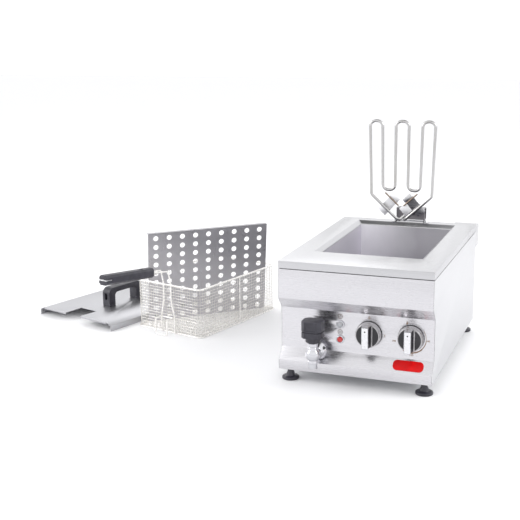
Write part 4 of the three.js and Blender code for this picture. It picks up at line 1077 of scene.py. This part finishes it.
def makeFloorWeave(z):
    b = basketShape

    def crimp(turn):
        return b["crimp"] if turn % 2 else -b["crimp"]

    halfX, halfY = b["width"] / 2 - b["mesh"], b["length"] / 2 - b["mesh"]
    columns, rows = round(2 * halfX / b["pitch"]), round(2 * halfY / b["pitch"])
    xs = [-halfX + 2 * halfX * (i + 0.5) / columns for i in range(columns)]
    ys = [-halfY + 2 * halfY * (j + 0.5) / rows for j in range(rows)]

    def reach(offset, half, otherHalf):
        # how far a floor wire runs before the rounded corner
        into = abs(offset) - (half - b["corner"])
        return otherHalf - (b["corner"] - math.sqrt(max(b["corner"] ** 2 - into ** 2, 0)) if into > 0 else 0)

    lift = Vector((0, 0, z + b["wire"]))
    lines = []
    for i, x in enumerate(xs):
        end = reach(x, halfX, halfY)
        inner = [Vector((x, y, crimp(i + j))) + lift for j, y in enumerate(ys) if abs(y) < end - 1]
        lines.append([Vector((x, -end, z)), *inner, Vector((x, end, z))])
    for j, y in enumerate(ys):
        end = reach(y, halfY, halfX)
        inner = [Vector((x, y, -crimp(i + j))) + lift for i, x in enumerate(xs) if abs(x) < end - 1]
        lines.append([Vector((-end, y, z)), *inner, Vector((end, y, z))])
    return tubes("weaveFloor", lines, b["wire"], basketFrame, 6)


def makeBasketWires():
    b = basketShape
    rimZ = b["height"] - b["rim"]
    rimPath = rectPath((b["width"] - b["mesh"]) / 2, (b["length"] - b["mesh"]) / 2, rimZ, b["corner"], 10)
    rim = tubes("rim", [rimPath], b["rim"], basketFrame, 16, closed=True)
    out = b["gap"] + b["frame"]
    footPath = rectPath(b["width"] / 2 + out, b["length"] / 2 + out, b["frame"], b["corner"] + out, 10)
    foot = tubes("foot", [footPath], b["frame"], basketFrame, 14, closed=True)
    side = b["width"] / 2 + b["gap"] + b["stiffener"]
    lines = [[Vector((s * side, 0, 2 * b["frame"] - 0.6)), Vector((s * side, 0, rimZ))] for s in (-1, 1)]
    posts = tubes("posts", lines, b["stiffener"], basketFrame, 14)
    rim = merged("rim", [rim, posts])
    standIn(rim, "basketRimWire", "frameWire", "basket_rim")
    standIn(foot, "basketFootWire", "frameWire", "basket_base_frame")


def makeHandleWires():
    b, h = basketShape, handleShape
    wireY = -(b["length"] / 2 + 2 * b["gap"] + 2 * b["frame"] + h["wire"])
    tilt = math.asin(h["gripRise"] / h["gripLength"])

    def gripPoint(x, outwards):
        y = -b["length"] / 2 - h["gripStart"] - outwards * math.cos(tilt)
        return Vector((x + h["shift"], y, h["gripZ"] + outwards * math.sin(tilt)))

    def upright(side):
        low, high = h["shift"] + side * h["low"], h["shift"] + side * h["high"]
        return roundedPath([
            Vector((low, wireY, h["wire"])), Vector((low, wireY, h["spreadZ"])),
            Vector((high, wireY, h["narrowZ"])), Vector((high, wireY, b["height"] + 4)),
            Vector((high, wireY - h["shoulderOut"], h["shoulderZ"])),
            gripPoint(side * h["wireHalf"], 0), gripPoint(side * h["wireHalf"], h["grasp"]),
        ], h["bend"], 6)

    left, right = h["shift"] - h["hookHalf"], h["shift"] + h["hookHalf"]
    away, foot, top = wireY - h["wire"] - h["hookOut"], h["wire"] + 1, h["hookTop"]
    hook = roundedPath([
        Vector((left, wireY, top)), Vector((left, away, top)), Vector((left, away, foot)),
        Vector((right, away, foot)), Vector((right, away, top)), Vector((right, wireY, top)),
    ], h["bend"] + 2, 8)
    tie = [Vector((h["shift"] + s * h["low"], wireY, top - 2)) for s in (-1, 1)]
    piece = tubes("handleWires", [upright(-1), upright(1), hook, tie], h["wire"], basketFrame, 14)
    standIn(piece, "basketHandleWires", "frameWire", "basket_handle_wire")


makeWeave()
makeBasketWires()
makeHandleWires()
print("basket woven")


sieveShape = {
    "width": 384, "height": 284, "lean": 6.5, "turn": 56.7, "x": -14, "y": 12.9, "z": 2.8, "sheet": 1.2,
    "lip": 11, "hole": 8, "columns": 9, "rows": 10, "pitchX": 41.9, "pitchZ": 28.3, "firstZ": 13.5,
    "lipHole": 2, "steps": 8,
}


def perforatedCell(width, height, radius, steps):
    # a rectangle of sheet with a round hole in its middle
    nothingSelected()
    bpy.ops.mesh.primitive_plane_add(size=1)
    cell = bpy.context.object
    bpy.ops.object.mode_set(mode="EDIT")
    bpy.ops.mesh.select_mode(type="EDGE")
    bpy.ops.transform.resize(value=(width * mm, height * mm, 1))
    bpy.ops.mesh.delete(type="ONLY_FACE")
    bpy.ops.mesh.select_all(action="SELECT")
    bpy.ops.mesh.subdivide(number_cuts=steps - 1)
    bpy.ops.mesh.primitive_circle_add(vertices=4 * steps, radius=radius * mm)
    bpy.ops.mesh.select_all(action="SELECT")
    bpy.ops.mesh.bridge_edge_loops()
    bpy.ops.mesh.normals_make_consistent(inside=False)
    bpy.ops.object.mode_set(mode="OBJECT")
    return cell


def repeated(cell, count, step):
    # copies of the cell, side by side and welded to each other
    copies = cell.modifiers.new("copies", "ARRAY")
    copies.count = count
    copies.use_relative_offset = False
    copies.use_constant_offset = True
    copies.constant_offset_displace = step
    copies.use_merge_vertices = True
    copies.merge_threshold = 0.00005
    applyModifiers(cell)


def stretchEdge(piece, axis, place, target):
    # moves the vertices at one edge of a flat field of holes, which makes its margin
    for v in piece.data.vertices:
        if abs(v.co[axis] / mm - place) < 0.05:
            v.co[axis] = target * mm


def makeSieve():
    s = sieveShape
    columns, rows, pitchX, pitchZ, sheet = s["columns"], s["rows"], s["pitchX"], s["pitchZ"], s["sheet"]
    left, fieldHalf = -(columns - 1) / 2 * pitchX, columns / 2 * pitchX
    plate = perforatedCell(pitchX, pitchZ, s["hole"], s["steps"])
    repeated(plate, columns, point(pitchX, 0, 0))
    repeated(plate, rows, point(0, pitchZ, 0))
    settle(plate, Matrix.Translation(point(left, s["firstZ"], 0)))
    stretchEdge(plate, 1, s["firstZ"] - pitchZ / 2, 0)
    stretchEdge(plate, 1, s["firstZ"] + (rows - 0.5) * pitchZ, s["height"])
    lip = perforatedCell(pitchX, s["lip"] + sheet, s["lipHole"], s["steps"] // 2)
    repeated(lip, columns, point(pitchX, 0, 0))
    settle(lip, Matrix.Translation(point(left, (s["lip"] - sheet) / 2, 0)))
    for piece in (plate, lip):
        stretchEdge(piece, 0, -fieldHalf, -s["width"] / 2)
        stretchEdge(piece, 0, fieldHalf, s["width"] / 2)
        thicken(piece, sheet)
    settle(plate, Matrix.Rotation(math.radians(90), 4, "X"))
    settle(lip, Matrix.Translation(point(0, 0, s["height"] - sheet)))
    piece = merged("sieve", [plate, lip])
    bpy.ops.object.mode_set(mode="EDIT")
    bpy.ops.mesh.select_all(action="SELECT")
    bpy.ops.mesh.remove_doubles(threshold=0.00001)
    bpy.ops.mesh.normals_make_consistent(inside=False)
    bpy.ops.object.mode_set(mode="OBJECT")
    stand = basketFrame @ placement(point(s["x"], s["y"], s["z"]), s["turn"])
    settle(piece, stand @ Matrix.Rotation(math.radians(s["lean"]), 4, "X"))
    smooth(piece, 30)
    standIn(piece, "sievePlateShape", "sieveSteel", "sieve_plate")


makeSieve()
print("sieve plate made")

makeCamera(cameraSetup)
makeStudio(studio)
